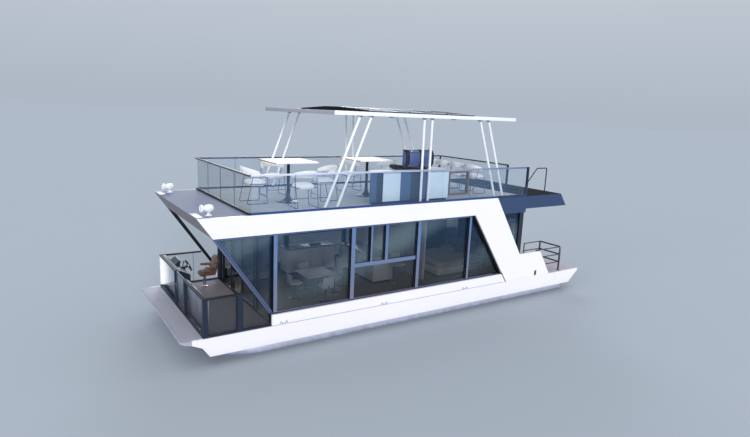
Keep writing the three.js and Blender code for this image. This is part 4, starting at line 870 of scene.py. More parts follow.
def makePontoons():
    radius, shoulder, tip = pontoon["radius"], pontoon["shoulder"], pontoon["tip"]
    wide, top, high = pontoon["weldWide"], pontoon["weldTop"], pontoon["weldHigh"]
    profile = [(radius * share, pontoon["aft"] + x) for share, x in pontoon["stern"]]
    for x in pontoon["welds"]:
        profile += [(radius, x - wide), (radius + high, x - top), (radius + high, x + top), (radius, x + wide)]
    for i in range(pontoon["noseRings"] + 1):
        share = i / pontoon["noseRings"]
        profile.append((radius * math.sqrt(1 - share ** pontoon["nosePower"]), shoulder + (tip - shoulder) * share))
    for name, sign in sidesOfBoat:
        tube = moved(turnedPart(profile, pontoon["steps"]), turned(90, "Y"))
        for vert in tube.verts:
            along = max(0.0, (vert.co.x - shoulder) / (tip - shoulder))
            vert.co.z += pontoon["lift"] * radius * along ** pontoon["nosePower"]
        makePiece("pontoon_shell_" + name, [tube], ["pontoonAlloy"], stands=["pontoon_" + name],
                  place=at(0, sign * pontoon["y"], radius))


makePontoons()
print("pontoons made")


# Windows: gaskets, dark strips of painted shade beside the bars, the studded slanted trim and the blinds

windows = {
    "low": 1690, "high": 3700, "transom": (2575, 2690), "gasket": 20, "glassY": 2110, "deep": 10,
    "bars": ((4931, 4830), (2710, 2540), (438, 275), (-1600, -1750)), "sashes": ((2090, 1977), (1590, 1443)),
    # dark strips beside the bars, on their bow side: painted shade where the bars' sides turn from the light
    "shadeStrips": ((4931, 4976), (2665, 2710), (386, 438), (-1662, -1600)), "sashShadeStrips": ((2034, 2090), (1540, 1590)),
    "aftX": -3950, "reveal": 30,
    "trim": {"z": (1652, 3750), "wide": 108, "studs": 44, "margin": 40, "stud": (13, 9)},
    "slot": {"z": (1340, 1694), "y": (2230, 2254), "x": (-3, 34)},
    "blind": {"pitch": 62, "x": (-3940, -1790), "y": (2058, 2084), "tilt": -38, "margin": 40, "tapes": 250},
}
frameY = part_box("window_frame_port")[1].y / mm  # outer face of the window frames
# the ribbon's slanted band: X and Z of each edge's foot and head
bandInner = ((-3269, 1648), (-1829, 3756))
bandOuter = ((-4043, 2246), (-2758, 4260))


def rectangle(x0, x1, z0, z1):
    return [(x0, z0), (x1, z0), (x1, z1), (x0, z1)]


def xOn(line, z):
    (footX, footZ), (headX, headZ) = line
    return footX + (z - footZ) / (headZ - footZ) * (headX - footX)


def zOn(line, x):
    (footX, footZ), (headX, headZ) = line
    return footZ + (x - footX) / (headX - footX) * (headZ - footZ)


def makeSlantTrim(name, sign):
    # a dark studded strip inside the band's edge, and the lining of the slot below it
    trim, slot = windows["trim"], windows["slot"]
    (low, high), wide = trim["z"], trim["wide"]
    outline = [(xOn(bandInner, low), low), (xOn(bandInner, low) + wide, low),
               (xOn(bandInner, high) + wide, high), (xOn(bandInner, high), high)]
    parts = [platePart(outline, "y", frameY + 0.5, frameY + 12, 2, 1)]
    halfX, halfZ = trim["stud"]
    for i in range(trim["studs"]):
        z = low + trim["margin"] + (high - low - 2 * trim["margin"]) * i / (trim["studs"] - 1)
        x = xOn(bandInner, z) + wide * 0.45
        parts.append((boxPart((x - halfX, frameY + 11, z - halfZ), (x + halfX, frameY + 17, z + halfZ), 3, 1), 1))
    (foot, head), (near, far) = slot["z"], slot["x"]
    footX, headX = xOn(bandInner, foot), xOn(bandInner, head)
    lining = [(headX + near, head), (footX + near, foot), (footX + far, foot), (headX + far, head)]
    parts.append(platePart(lining, "y", *slot["y"], 1, 1))
    makePiece("slant_trim_" + name, parts, ["gapBlack", "studBrown"], sign=sign)


def makeGaskets():
    low, high = windows["low"], windows["high"]
    transomLow, transomHigh = windows["transom"]
    first, second, third, fourth = windows["bars"]
    sashA, sashB = windows["sashes"]
    aftX, reveal = windows["aftX"], windows["reveal"]
    openings = [
        [(first[0], 1700), (xOn(braceLine, high), high), (first[0], high)],
        rectangle(second[0], first[1], low, high), rectangle(third[0], second[1], low, transomLow),
        rectangle(sashA[0], second[1], transomHigh, high), rectangle(sashB[0], sashA[1], transomHigh, high),
        rectangle(third[0], sashB[1], transomHigh, high), rectangle(fourth[0], third[1], low, high),
        [(xOn(bandInner, low) + reveal, low), (fourth[1], low), (fourth[1], high),
         (xOn(bandInner, high) + reveal, high)],
        [(aftX, high), (aftX, zOn(bandOuter, aftX) + 2 * reveal), (xOn(bandOuter, high) - reveal, high)],
    ]
    bars = [(*span, low) for span in windows["shadeStrips"]] + [(*span, transomHigh) for span in windows["sashShadeStrips"]]
    for name, sign in sidesOfBoat:
        parts = [ringPart(outline, "y", windows["glassY"], windows["glassY"] + windows["deep"], windows["gasket"])
                 for outline in openings]
        # the dark strips paint the shade on the bars' bow side
        parts += [boxPart((a, frameY - 3, foot), (b, frameY + 2.5, high), 1, 1) for a, b, foot in bars]
        makePiece("window_gaskets_" + name, parts, ["gapBlack"], sign=sign)
        makeSlantTrim(name, sign)


def makeBlinds():
    blind, low, high = windows["blind"], windows["low"], windows["high"]
    (x0, x1), (y0, y1) = blind["x"], blind["y"]
    middle, half = (y0 + y1) / 2, (y1 - y0) / 2
    for name, sign in sidesOfBoat:
        parts = []
        z = low + blind["margin"]
        while z < high - blind["margin"]:
            slat = boxPart((x0, -half, -1.5), (x1, half, 1.5), 1.0, 1)
            parts.append(moved(slat, at(0, middle, z) @ turned(blind["tilt"], "X")))
            z += blind["pitch"]
        for x in (x0 + blind["tapes"], (x0 + x1) / 2, x1 - blind["tapes"]):
            parts.append(rodPart((x, middle, low + 10), (x, middle, high - 10), 3, 8))
        parts.append(boxPart((x0, y0, high - 30), (x1, y1, high + 15), 4))
        makePiece("blinds_" + name, parts, ["blindSlate"], sign=sign)


makeGaskets()
makeBlinds()
print("window gaskets and blinds made")


# Small fittings on the hull and the bow roof

fittings = {
    "skinY": 2249, "seamPairs": (4676, 1543, -1578), "seamZ": 1390, "seam": (-3290, 4990, 1364),
    "cover": (-5660, -3350), "sternJoint": (-6020, 1010, 1350),
    # along the hull, upwards and the radius of each pin on a seam fitting
    "pins": ((-84, 36, 16), (74, 36, 16), (-106, 2, 9), (-34, 2, 13), (30, 2, 13), (100, 2, 9)),
    "roofPlate": (6640, 6800, 1530, 2090), "boltInset": 25, "vent": (-4990, -4870, 1352, 1572), "slats": 6,
}


def makeSeamFittings(name, sign):
    skin, z = fittings["skinY"], fittings["seamZ"]
    parts = []
    for x in fittings["seamPairs"]:
        parts.append(boxPart((x - 120, skin - 3, z - 22), (x + 120, skin + 4, z + 58), 8))
        for dx, up, radius in fittings["pins"]:
            pinX, pinZ = x + dx, z + up
            parts.append((rodPart((pinX, skin + 3, pinZ), (pinX, skin + 13, pinZ), radius, 20, 2), 2))
            parts.append((rodPart((pinX, skin + 12, pinZ), (pinX, skin + 15, pinZ), radius * 0.4, 12), 1))
    a, b, z = fittings["seam"]
    parts.append((boxPart((a, skin, z - 5), (b, skin + 2.5, z + 6), 1, 1), 3))
    x, foot, head = fittings["sternJoint"]
    parts.append((boxPart((x - 4, skin, foot), (x + 4, skin + 2, head), 0.8, 1), 3))
    a, b = fittings["cover"]
    parts.append(boxPart((a, skin, z - 30), (b, skin + 2.5, z + 34), 1.2, 1))
    makePiece("seam_fittings_" + name, parts, ["fittingWhite", "polishedSteel", "pinBlue", "seamBlue"],
              sign=sign)


def makeHullFittings():
    for name, sign in sidesOfBoat:
        makeSeamFittings(name, sign)
        x0, x1, y0, y1 = fittings["roofPlate"]
        inset = fittings["boltInset"]
        parts = [platePart(rectangle(x0, x1, y0, y1), "z", roofZ - 1, roofZ + 6, 2.5)]
        for x in (x0 + inset, x1 - inset):
            for y in (y0 + inset, (y0 + y1) / 2, y1 - inset):
                parts.append((rodPart((x, y, roofZ + 5), (x, y, roofZ + 9), 6, 12, 1), 1))
        makePiece("bow_roof_plate_" + name, parts, ["plateWhite", "polishedSteel"], sign=sign)
    x0, x1, z0, z1 = fittings["vent"]
    skin = fittings["skinY"]
    parts = [ringPart(rectangle(x0, x1, z0, z1), "y", skin - 2, skin + 6, 9),
             (boxPart((x0 + 7, skin - 2, z0 + 7), (x1 - 7, skin + 2, z1 - 7)), 1)]
    for i in range(fittings["slats"]):
        z = z0 + 22 + i * (z1 - z0 - 44) / (fittings["slats"] - 1)
        parts.append((boxPart((x0 + 8, skin, z - 3), (x1 - 8, skin + 5, z + 3), 1.5), 1))
    makePiece("hull_vent", parts, ["gapBlack", "doorSlate"])


makeHullFittings()


# Glass joints of both balustrades, and the handles

glassJoints = {
    "wide": 9,
    # name: the height range, then X and Y ranges of each joint; a single number is a joint's middle
    "balustrade_joints": ((4322, 5188), [((5535, 5549), -1160), ((5535, 5549), -40), ((5535, 5549), 1060)] + [
        (x, y) for x in (4376, -1539) for y in ((2181, 2195), (-2195, -2181))]),
    "terrace_joints": ((1398, 2286), [((6617, 6632), -1402), ((6617, 6632), 1402), (5750, (-2133, -2118))]),
}


def makeGlassJoints(name):
    (z0, z1), places = glassJoints[name]
    half = glassJoints["wide"] / 2
    parts = []
    for place in places:
        (x0, x1), (y0, y1) = [side if isinstance(side, tuple) else (side - half, side + half) for side in place]
        parts.append(boxPart((x0, y0, z0), (x1, y1, z1), 1.5, 1))
    makePiece(name, parts, ["seamSeal"])


handles = {
    "doorX": 4976, "doorY": 31, "doorZ": (2250, 2650),
    # name: the door's body, the place, the side it stands on, the plate's half sizes, the lever's reach and length
    "levers": {"gate_latch": ("gate", (6689, -374, 1930), 1, (16, 70), 26, 110),
               "aft_door_handle": ("aft_door", (-4130, -946, 2380), -1, (17, 90), 34, -120)},
}


def makeHandles():
    x, (z0, z1) = handles["doorX"], handles["doorZ"]
    for name, sign in sidesOfBoat:
        y = handles["doorY"]
        parts = [tubePart([(x - 1, y, z0), (x + 10, y, z0), (x + 10, y, z1), (x - 1, y, z1)], 5, 8)]
        parts += [rodPart((x - 0.5, y, z), (x + 3, y, z), 11, 20, 1) for z in (z0, z1)]
        makePiece("door_handle_" + name, parts, ["polishedSteel"], "door_" + name, sign=sign)
    for name, (body, (x, y, z), out, (halfY, halfZ), reach, long) in handles["levers"].items():
        a, b = sorted((x - out, x + out * 6))
        parts = [boxPart((a, y - halfY, z - halfZ), (b, y + halfY, z + halfZ), 3),
                 tubePart([(x + out * 5, y, z + 30), (x + out * reach, y, z + 30),
                           (x + out * reach, y + long, z + 30)], 8, 12)]
        makePiece(name, parts, ["polishedSteel"], body)


makeGlassJoints("balustrade_joints")
makeGlassJoints("terrace_joints")
makeHandles()
print("fittings, glass joints and handles made")


# Railings of bent tube

railings = {
    "y": 2080, "innerY": 1150, "x": -6400, "foreX": -5515, "top": 2236, "rows": (0.36, 0.68, 1.0),
    "post": 33, "run": 19, "bulwark": ((-5676, 1364), (-5096, 2246)), "wallY": 2179,
    "postFoot": [(0, 0), (55, 0), (55, 5), (40, 12), (32, 14), (28, 30), (0, 30)],
    "runFoot": [(0, 0), (42, 0), (42, 5), (24, 11), (15, 13), (14, 26), (0, 26)],
    "hand": {"y": 2065, "foreX": -4300, "kneeZ": 4707, "kneeX": -4711, "aftX": -5208, "z": 5160, "r": 19,
             "foot": [(0, 0), (40, 0), (40, 6), (24, 12), (19, 26), (0, 26)]},
}


def makeRailings():
    base = deckZ + rest
    x, y, innerY, foreX, wallY = (railings[key] for key in ("x", "y", "innerY", "foreX", "wallY"))
    post, run, high = railings["post"], railings["run"], railings["top"]
    for name, sign in sidesOfBoat:
        parts = []
        for postY in (y, innerY):
            parts.append(rodPart((x, postY, base), (x, postY, high + run), post, 24, 5))
            parts.append(moved(turnedPart(railings["postFoot"], 28), at(x, postY, base)))
        parts.append(rodPart((foreX, innerY, base), (foreX, innerY, high), run, 18))
        parts.append(moved(turnedPart(railings["runFoot"], 24), at(foreX, innerY, base)))
        for share in railings["rows"]:
            z = base + share * (high - base)
            hold = xOn(railings["bulwark"], z) + 60
            parts.append(tubePart([(foreX, innerY, z), (x + 12, innerY, z)], run, sides=14))
            parts.append(rodPart((x, innerY, z), (x, y, z), post - 6, 20))
            parts.append(tubePart([(x + 12, y, z), (hold, y, z), (hold, wallY, z)], run, 30, 14))
            parts.append(rodPart((hold, wallY - 6, z), (hold, wallY, z), 32, 24, 2))
        makePiece("stern_tubes_" + name, parts, ["railSteel"], stands=["stern_rail_" + name], sign=sign)


def makeHandRail():
    hand = railings["hand"]
    y, foreX, aftX, foot = hand["y"], hand["foreX"], hand["aftX"], roofZ + rest
    line = [(foreX, y, foot), (foreX, y, hand["kneeZ"]), (hand["kneeX"], y, hand["z"]), (aftX, y, hand["z"]),
            (aftX, y, foot)]
    parts = [tubePart(line, hand["r"], 70, 18, 8)]
    parts += [moved(turnedPart(hand["foot"], 28), at(x, y, foot)) for x in (foreX, aftX)]
    makePiece("stair_hand_rail", parts, ["darkRail"], stands=["stair_rail"])


makeRailings()
makeHandRail()
print("railings made")


# Canopy: slab with a grey trim of painted shade, raked posts in pairs with bolted plates, and lamps

canopy = {
    "x": (-3245, 3350), "z": (6700, 6805), "halfY": 2250, "footY": 2128, "headY": 2190, "radius": 36,
    "feet": (3505, 3136, 341, 66, -2704, -3068), "heads": (2545, 2193, 406, 120, -1749, -2101),
    "plateLong": 60, "plateInner": 70, "plateOuter": 44, "plateThick": 14, "bolt": 7, "trimHigh": 2,
    "seams": (0.25, 0.5, 0.75), "lampX": (1457, -798), "lampY": (2010, 2120),
    "collar": [(0, 0), (54, 0), (52, 8), (43, 16), (39, 34), (0, 34)],
}


def postPlate(x, y, z, up):
    # a foot or head plate with four bolts; up is 1 on the deck and -1 under the slab
    long, inner, outer, thick = (canopy[key] for key in ("plateLong", "plateInner", "plateOuter", "plateThick"))
    z0, z1 = sorted((z, z + up * thick))
    parts = [(boxPart((x - long, y - inner, z0), (x + long, y + outer, z1), 3), 1)]
    for dx in (14 - long, long - 14):
        for dy in (14 - inner, outer - 12):
            start, end = (x + dx, y + dy, z + up * (thick - 1)), (x + dx, y + dy, z + up * (thick + 6))
            parts.append((rodPart(start, end, canopy["bolt"], 6), 2))
    collar = moved(turnedPart(canopy["collar"], 28), turned(0 if up > 0 else 180, "X"))
    return parts + [(moved(collar, at(x, y, z + up * (thick - 1))), 1)]


def makeCanopy():
    x0, x1 = canopy["x"]
    z0, z1 = canopy["z"]
    half, trim = canopy["halfY"], canopy["trimHigh"]
    parts = [boxPart((x0, -half, z0), (x1, half, z1), 5, 3)]
    # grey-lilac trims at both ends, their tone painted shade
    for x in (x1, x0):
        parts.append((boxPart((x - 12, 1 - half, z0 + trim), (x + 4, half - 1, z1 + 1), 2), 1))
    for share in canopy["seams"]:
        x = x0 + share * (x1 - x0)
        parts.append((boxPart((x - 3, 12 - half, z0 - 3), (x + 3, half - 12, z0 + 4)), 2))
    makePiece("canopy_slab", parts, ["canopyWhite", "canopyFasciaShade", "seamSeal"], stands=["canopy"])
    low, footY, headY = roofZ + rest, canopy["footY"], canopy["headY"]
    y0, y1 = canopy["lampY"]
    for name, sign in sidesOfBoat:
        parts = []
        for footX, headX in zip(canopy["feet"], canopy["heads"]):
            parts.append(rodPart((footX, footY, low + 8), (headX, headY, z0 - 2), canopy["radius"], 28))
            parts += postPlate(footX, footY, low, 1) + postPlate(headX, headY, z0 + 1, -1)
        makePiece("canopy_posts_" + name, parts, ["postWhite", "frameSlate", "polishedSteel"],
                  sign=sign)
        parts = []
        for x in canopy["lampX"]:
            parts += [boxPart((x - 60, y0, z0 - 22), (x + 60, y1, z0 + 3), 5),
                      (boxPart((x - 50, y0 + 10, z0 - 25), (x + 50, y1 - 10, z0 - 20), 2), 1)]
        makePiece("canopy_lamps_" + name, parts, ["frameSlate", "lampLens"], sign=sign)


# Solar array: framed modules on a low crown, with dark end boards and clamps, and black rails as painted shadow

array = {
    "x": (-1650, 2205), "edge": (2030, 90), "flat": (480, 165), "thick": 34, "base": 6755, "foot": 50.5,
    "columns": 4, "gap": 12, "rim": 26, "sunk": 3, "end": 30, "board": 18, "inset": 20, "clampX": (829, -546),
    "rails": (-0.97, -0.55, -0.18, 0.18, 0.55, 0.97),
}


def modulePart(x0, x1, half):
    # finish 0 is the frame's top, 1 the cells, a little below it, and 2 the sides and the back, black as painted
    # shadow under the modules
    part = boxPart((x0, -half, -array["thick"]), (x1, half, 0))
    cells = [face for face in part.faces if face.normal.z > 0.9]
    bmesh.ops.inset_region(part, faces=cells, thickness=array["rim"])
    bmesh.ops.translate(part, vec=(0, 0, -array["sunk"]), verts=list({v for face in cells for v in face.verts}))
    for face in part.faces:
        face.material_index = 1 if face in cells else 2 if face.normal.z < 0.3 else 0
    return part


def makeArray():
    x0, x1 = array["x"]
    (edgeY, edgeZ), (flatY, flatZ) = array["edge"], array["flat"]
    gap, foot, inset = array["gap"], array["foot"], array["inset"]
    crown = [(-edgeY, edgeZ), (-flatY, flatZ), (flatY, flatZ), (edgeY, edgeZ)]
    step = (x1 - x0 - 2 * array["end"]) / array["columns"]
    place = at(0, 0, array["base"])
    parts = []
    for (ya, za), (yb, zb) in zip(crown, crown[1:]):
        half = (math.hypot(yb - ya, zb - za) - gap) / 2
        slope = at(0, (ya + yb) / 2, (za + zb) / 2) @ Matrix.Rotation(math.atan2(zb - za, yb - ya), 4, "X")
        for i in range(array["columns"]):
            start = x0 + array["end"] + i * step
            parts.append((moved(modulePart(start + gap / 2, start + step - gap / 2, half), slope), None))
    makePiece("solar_modules", parts, ["moduleSilver", "solarCells", "gapBlack"],
              stands=["solar_array"], place=place)
    outline = [(-edgeY, foot), (edgeY, foot)] + [(y, z - 4) for y, z in reversed(crown)]
    parts = [(platePart(outline, "x", start, start + array["board"], 2, 1), 2) for start in (x0, x1 - array["board"])]
    for side in (-1, 1):
        y0, y1 = sorted((side * (edgeY - 1), side * (edgeY + 3)))
        parts.append((boxPart((x0 + inset, y0, edgeZ - 11), (x1 - inset, y1, edgeZ + 1), 1, 1), 3))
    # the rails are black too, painted shadow in the gap under the modules
    for share in array["rails"]:
        y = share * edgeY
        rise = min(1, (edgeY - abs(y)) / (edgeY - flatY))
        high = edgeZ + rise * (flatZ - edgeZ) - array["thick"] + 4
        parts.append((boxPart((x0 + inset, y - 22, foot), (x1 - inset, y + 22, high), 3), 2))
    for x in array["clampX"]:
        for y in (4 - edgeY, edgeY - 4):
            parts.append(boxPart((x - 22, y - 12, edgeZ - 40), (x + 22, y + 12, edgeZ + 8), 3))
            parts.append((rodPart((x, y, edgeZ + 7), (x, y, edgeZ + 15), 8, 6), 1))
    makePiece("solar_rack", parts, ["rackAlloy", "polishedSteel", "gapBlack", "moduleSilver"],
              place=place)


makeCanopy()
makeArray()
print("canopy and solar array made")


# Laid deck covering in three stretches, cut out round the canopy's foot plates

covering = {
    "stretches": {"aft": (-3984, -1200.3), "middle": (-1200, 2399.7), "forward": (2400, 5520)},
    "halfY": 2178, "innerY": 2049, "reach": 68, "thick": 8, "shortest": 20,
}


def makeCovering():
    z0, z1 = roofZ + rest, roofZ + rest + covering["thick"]
    inner, outer, reach = covering["innerY"], covering["halfY"], covering["reach"]
    for name, (x0, x1) in covering["stretches"].items():
        parts = [boxPart((x0, -inner, z0), (x1, inner, z1), 2)]
        stops = sorted(x for x in canopy["feet"] if x0 - reach < x < x1 + reach)
        edges = [x0] + [x for stop in stops for x in (stop - reach, stop + reach)] + [x1]
        for start, end in zip(edges[::2], edges[1::2]):
            if end - start > covering["shortest"]:
                parts += [boxPart((start, y, z0), (end, y + outer - inner, z1), 2) for y in (-outer, inner)]
        makePiece("deck_boards_" + name, parts, ["upperFloor"], stands=["deck_covering_" + name])


makeCovering()


# Cushions: a rounded slab whose plan and crown are shaped vertex by vertex, puffed by Cloth

clothSettings = {"pressure": 4.0, "frames": 20, "cap": 12.0, "floor": 0.004, "smooth": 0.4}


def cushionPart(size, crown, squareness, cuts, layers):
    # size is the full width, depth and height; the lower face stays flat
    part = bmesh.new()
    bmesh.ops.create_cube(part, size=2.0)
    for level, count in ((True, cuts), (False, layers)):
        edges = [edge for edge in part.edges if (abs(edge.verts[0].co.z - edge.verts[1].co.z) < 0.1) is level]
        bmesh.ops.subdivide_edges(part, edges=edges, cuts=count, use_grid_fill=True)
    for vert in part.verts:
        u, v, w = vert.co
        reach = max(abs(u), abs(v), 1e-6)
        angle = math.atan2(v, u)
        rim = sum(abs(wave(angle)) ** (2 / squareness) for wave in (math.cos, math.sin)) ** (-squareness / 2)
        out = reach * rim * (1 - 0.16 * abs(w) ** 2.5 * reach ** 6)
        fall = 1 - reach ** 4 * (crown if w > 0 else crown * 0.35)
        vert.co = (math.cos(angle) * out * size[0] / 2, math.sin(angle) * out * size[1] / 2,
                   (w * fall + 1) / 2 * size[2])
    return outward(part)


def puffed(part):
    # the pad swells under a little pressure and each point may move only so far
    mesh = bpy.data.meshes.new("puff")
    bmesh.ops.scale(part, vec=(mm, mm, mm), verts=part.verts)
    part.to_mesh(mesh)
    part.free()
    obj = placed("puff", mesh)
    before = [vert.co.copy() for vert in mesh.vertices]
    cloth = obj.modifiers.new("cloth", "CLOTH")
    cloth.settings.use_pressure = True
    cloth.settings.uniform_pressure_force = clothSettings["pressure"]
    cloth.settings.effector_weights.gravity = 0
    cloth.point_cache.frame_start = 1
    cloth.point_cache.frame_end = clothSettings["frames"]
    for step in range(1, clothSettings["frames"] + 1):
        bpy.context.scene.frame_set(step)
    seen = obj.evaluated_get(bpy.context.evaluated_depsgraph_get())
    after = [vert.co.copy() for vert in seen.data.vertices]
    bpy.context.scene.frame_set(1)
    grown = bmesh.new()
    grown.from_mesh(mesh)
    cap = clothSettings["cap"] * mm
    for vert, old, new in zip(grown.verts, before, after):
        step = new - old
        if step.length > cap:
            step = step.normalized() * cap
        if old.z < clothSettings["floor"]:
            step.z = max(step.z, 0.0)
        vert.co = old + step
    bpy.data.objects.remove(obj)
    bpy.data.meshes.remove(mesh)
    bmesh.ops.smooth_vert(grown, verts=grown.verts, factor=clothSettings["smooth"], use_axis_x=True,
                          use_axis_y=True, use_axis_z=True)
    bmesh.ops.scale(grown, vec=(1 / mm, 1 / mm, 1 / mm), verts=grown.verts)
    return grown


# Chairs: a round-cornered seat pad, a padded back that wraps round it and two bent wire runners

chair = {
    "padZ": 480, "padShift": 40, "padSize": (566, 566, 142), "shell": (312, 352), "turn": 104, "gauge": 295,
    "deep": 285, "wire": 9, "steps": 40, "seatRailZ": 530,
    # heights of the back's upper and lower edge, behind the sitter and at the ends of the arms
    "upper": (995, 860), "lower": (800, 770), "rounding": 0.12, "lean": 0.05,
    # name: X, Y and the way it faces in degrees
    "places": {
        "forward_1": (3865, 1632, -90), "forward_2": (2780, 760, 0), "forward_3": (3790, -600, 90),
        "forward_4": (4847, 578, 180), "middle_1": (1130, -620, 90), "middle_2": (0, -300, 0),
        "aft_1": (-2760, -980, 180), "aft_2": (-2760, -310, 180), "aft_3": (-2760, 360, 180),
        "aft_4": (-2760, 1050, 180),
    },
}


def shellPart():
    # an oval section spun round the sitter, then sloped down towards its two ends
    inner, outer = chair["shell"]
    middle, thick = (inner + outer) / 2, (outer - inner) / 2
    part = bmesh.new()
    bmesh.ops.create_circle(part, cap_ends=False, segments=24, radius=1.0)
    for vert in part.verts:
        u, v = vert.co.x, vert.co.y
        square = math.copysign(abs(v) ** 0.75, v)
        vert.co = (middle + thick * math.copysign(abs(u) ** 0.7, u), 0, square * 0.5 + 0.5)
    spread = math.radians(chair["turn"])
    moved(part, turned(180 - chair["turn"], "Z"))
    bmesh.ops.spin(part, geom=part.verts[:] + part.edges[:], cent=(0, 0, 0), axis=(0, 0, 1), angle=2 * spread,
                   steps=chair["steps"], use_merge=False)
    closeEnds(part)
    (highBack, highEnd), (lowBack, lowEnd) = chair["upper"], chair["lower"]
    for vert in part.verts:
        angle = math.atan2(vert.co.y, vert.co.x)
        away = abs(abs(angle) - math.pi) / spread  # 0 behind the sitter, 1 at the ends
        fore = (1 - math.cos(away * spread)) / (1 - math.cos(spread))
        high = highBack + fore * (highEnd - highBack)
        low = lowBack + fore * (lowEnd - lowBack)
        end = max(0.0, (away - 1) / chair["rounding"] + 1)
        pinch = math.sqrt(max(0.0, 1 - end ** 2)) * 0.8 + 0.2
        up = vert.co.z - 0.5
        out = middle + (math.hypot(vert.co.x, vert.co.y) - middle) * pinch
        out *= 1 + chair["lean"] * up * (1 - away)
        vert.co = (out * math.cos(angle), out * math.sin(angle), low + (0.5 + up * pinch) * (high - low))
    return outward(part)


def wireParts():
    gauge, deep, r, rail = (chair[key] for key in ("gauge", "deep", "wire", "seatRailZ"))
    parts = []
    for sign in (1, -1):
        side, near = sign * gauge, sign * (gauge - 35)
        parts.append(tubePart([(deep - 25, near, rail + 8), (deep, side, r), (-deep, side, r),
                               (-100, sign * 320, 850)], r, 45, 10, 5))
        parts.append(tubePart([(deep - 24, near, rail), (-192, sign * (gauge - 3), rail)], r, sides=10))
    for x, z in ((-170, rail), (170, rail), (deep - 8, 170)):
        parts.append(tubePart([(x, 8 - gauge, z), (x, gauge - 8, z)], r, sides=10))
    return parts


def makeChairs():
    pad = puffed(cushionPart(chair["padSize"], 0.42, 0.62, 14, 3))
    moved(pad, at(chair["padShift"], 0, chair["padZ"]))
    shell = shellPart()
    for name, (x, y, heading) in chair["places"].items():
        place = at(x, y, floorZ) @ turned(heading, "Z")
        makePiece("chair_pad_" + name, [pad.copy()], ["cushionCloth"], place=place, fill=0.7)
        makePiece("chair_back_" + name, [shell.copy()], ["shellCloth"], place=place, fill=0.8)
        makePiece("chair_frame_" + name, wireParts(), ["frameWire"], place=place)
    pad.free()
    shell.free()


makeChairs()
print("deck covering and chairs made")


# Tables: white top with timber bow and stern edges, black column and a trumpet foot

table = {
    "places": {"forward": (3897, 730), "aft": (1189, 504)}, "half": (635, 610), "top": 1141, "thick": 36,
    "edge": 14,
    "foot": [(0, 0), (333, 0), (335, 4), (328, 9), (250, 24), (170, 44), (120, 66), (82, 100), (60, 145),
             (50, 210), (45, 300), (0, 300)],
    "column": [(0, 296), (47, 296), (47, 310), (42, 318), (42, 1020), (60, 1060), (150, 1096)],
}


def makeTables():
    halfX, halfY = table["half"]
    top, low, edge = table["top"], table["top"] - table["thick"], table["edge"]
    for name, (x, y) in table["places"].items():
        parts = [boxPart((edge - halfX, -halfY, low), (halfX - edge, halfY, top), 5, 3)]
        for side in (-1, 1):
            a, b = sorted((side * (halfX - edge - 0.5), side * halfX))
            parts.append((boxPart((a, -halfY, low), (b, halfY, top - 0.5), 4, 2), 1))
        parts.append((turnedPart(table["foot"], 48), 2))
        parts.append((turnedPart(table["column"] + [(150, low + 1), (0, low + 1)], 40), 3))
        makePiece("table_piece_" + name, parts, ["counterWhite", "tableWood", "tableFoot", "tableBlack"],
                  stands=["table_" + name], place=at(x, y, floorZ + rest))


makeTables()
print("tables made")


# Bar: fronts in several tones, a white counter with a timber edge and an open timber frame aft of it

bar = {
    "x": (-839, 2048), "innerX1": 1560, "y": (1190, 2040), "top": 930, "slab": 34, "kick": 60,
    # joint positions from the bow end aft, and the finish of each front
    "joints": (2048, 1810, 1604, 1000, 629, 291, -55, -606, -839),
    "tones": ("barDark", "barDarker", "barLight", "barDark", "barDarker", "barDark", "barLight", "barLight"),
    "doors": (-805, -260, 200, 700, 1130, 1526), "gripFrom": 300, "grip": (5, 8, 10),
    "frame": {"x0": -2320, "y": (1190, 1310), "board": 55, "high": 770, "midX": -1500},
}


def makeBar():
    x0, x1 = bar["x"]
    y0, y1 = bar["y"]
    innerX1, low, top = bar["innerX1"], floorZ + rest, floorZ + bar["top"]
    kick, under = low + bar["kick"], top - bar["slab"]
    finishes = ["barDark", "barDarker", "barLight", "counterWhite", "barWood", "rubber", "polishedSteel"]
    # carcass, plinth and counter: insets of the inner, bow and outer sides, heights, edge and finish
    slabs = ((30, 30, 46, kick - 4, under + 1, 3, 1), (70, 90, 70, low, kick, 2, 5), (0, 0, 12, under, top, 4, 3))
    parts = []
    for inner, bow, outer, z0, z1, edge, number in slabs:
        outline = [(x0 + inner, y0 + inner), (innerX1 - inner, y0 + inner), (x1 - bow, y1 - outer),
                   (x0 + inner, y1 - outer)]
        parts.append((platePart(outline, "z", z0, z1, edge), number))
    parts += [(boxPart((x0 + 2, y1 - 13, under), (x1 - 4, y1, top - 1), 4), 3),
              (boxPart((x0 + 2, y0 - 2, under + 3), (innerX1 - 4, y0 + 8, top - 3), 3), 4)]
    for a, b, tone in zip(bar["joints"], bar["joints"][1:], bar["tones"]):
        bow, stern = min(a, x1 - 30), max(b, x0 + 30)
        front = boxPart((stern + 3, y1 - 46, kick + 12), (bow - 3, y1 - 27, under - 10), 3)
        parts.append((front, finishes.index(tone)))
        middle, z = (bow + stern) / 2, under - 60
        if bow - stern > bar["gripFrom"] and middle < innerX1 - 90:
            grip = [(middle - 60, y0 + 27, z), (middle - 60, y0 + 8, z), (middle + 60, y0 + 8, z),
                    (middle + 60, y0 + 27, z)]
            parts.append((tubePart(grip, *bar["grip"]), 6))
    for a, b in zip(bar["doors"], bar["doors"][1:]):
        parts.append((boxPart((a + 3, y0 + 24, kick + 12), (b - 3, y0 + 36, under - 12), 3), 2))
    stand = bar["frame"]
    start, middle, board, high = (stand[key] for key in ("x0", "midX", "board", "high"))
    y0, y1 = stand["y"]
    for a, b in ((start, start + board), (middle, middle + board), (x0 + 2, x0 + 29)):
        parts.append((boxPart((a, y0, low), (b, y1, low + high), 3), 4))
    for z in (low, low + high - board):
        parts.append((boxPart((start + 3, y0 + 2, z + 1), (x0 + 10, y1 - 2, z + board - 1), 3), 4))
    makePiece("bar_piece", parts, finishes, stands=["bar_unit"])


# Grill: fire box with a grate and a side shelf, and a domed lid that stands open

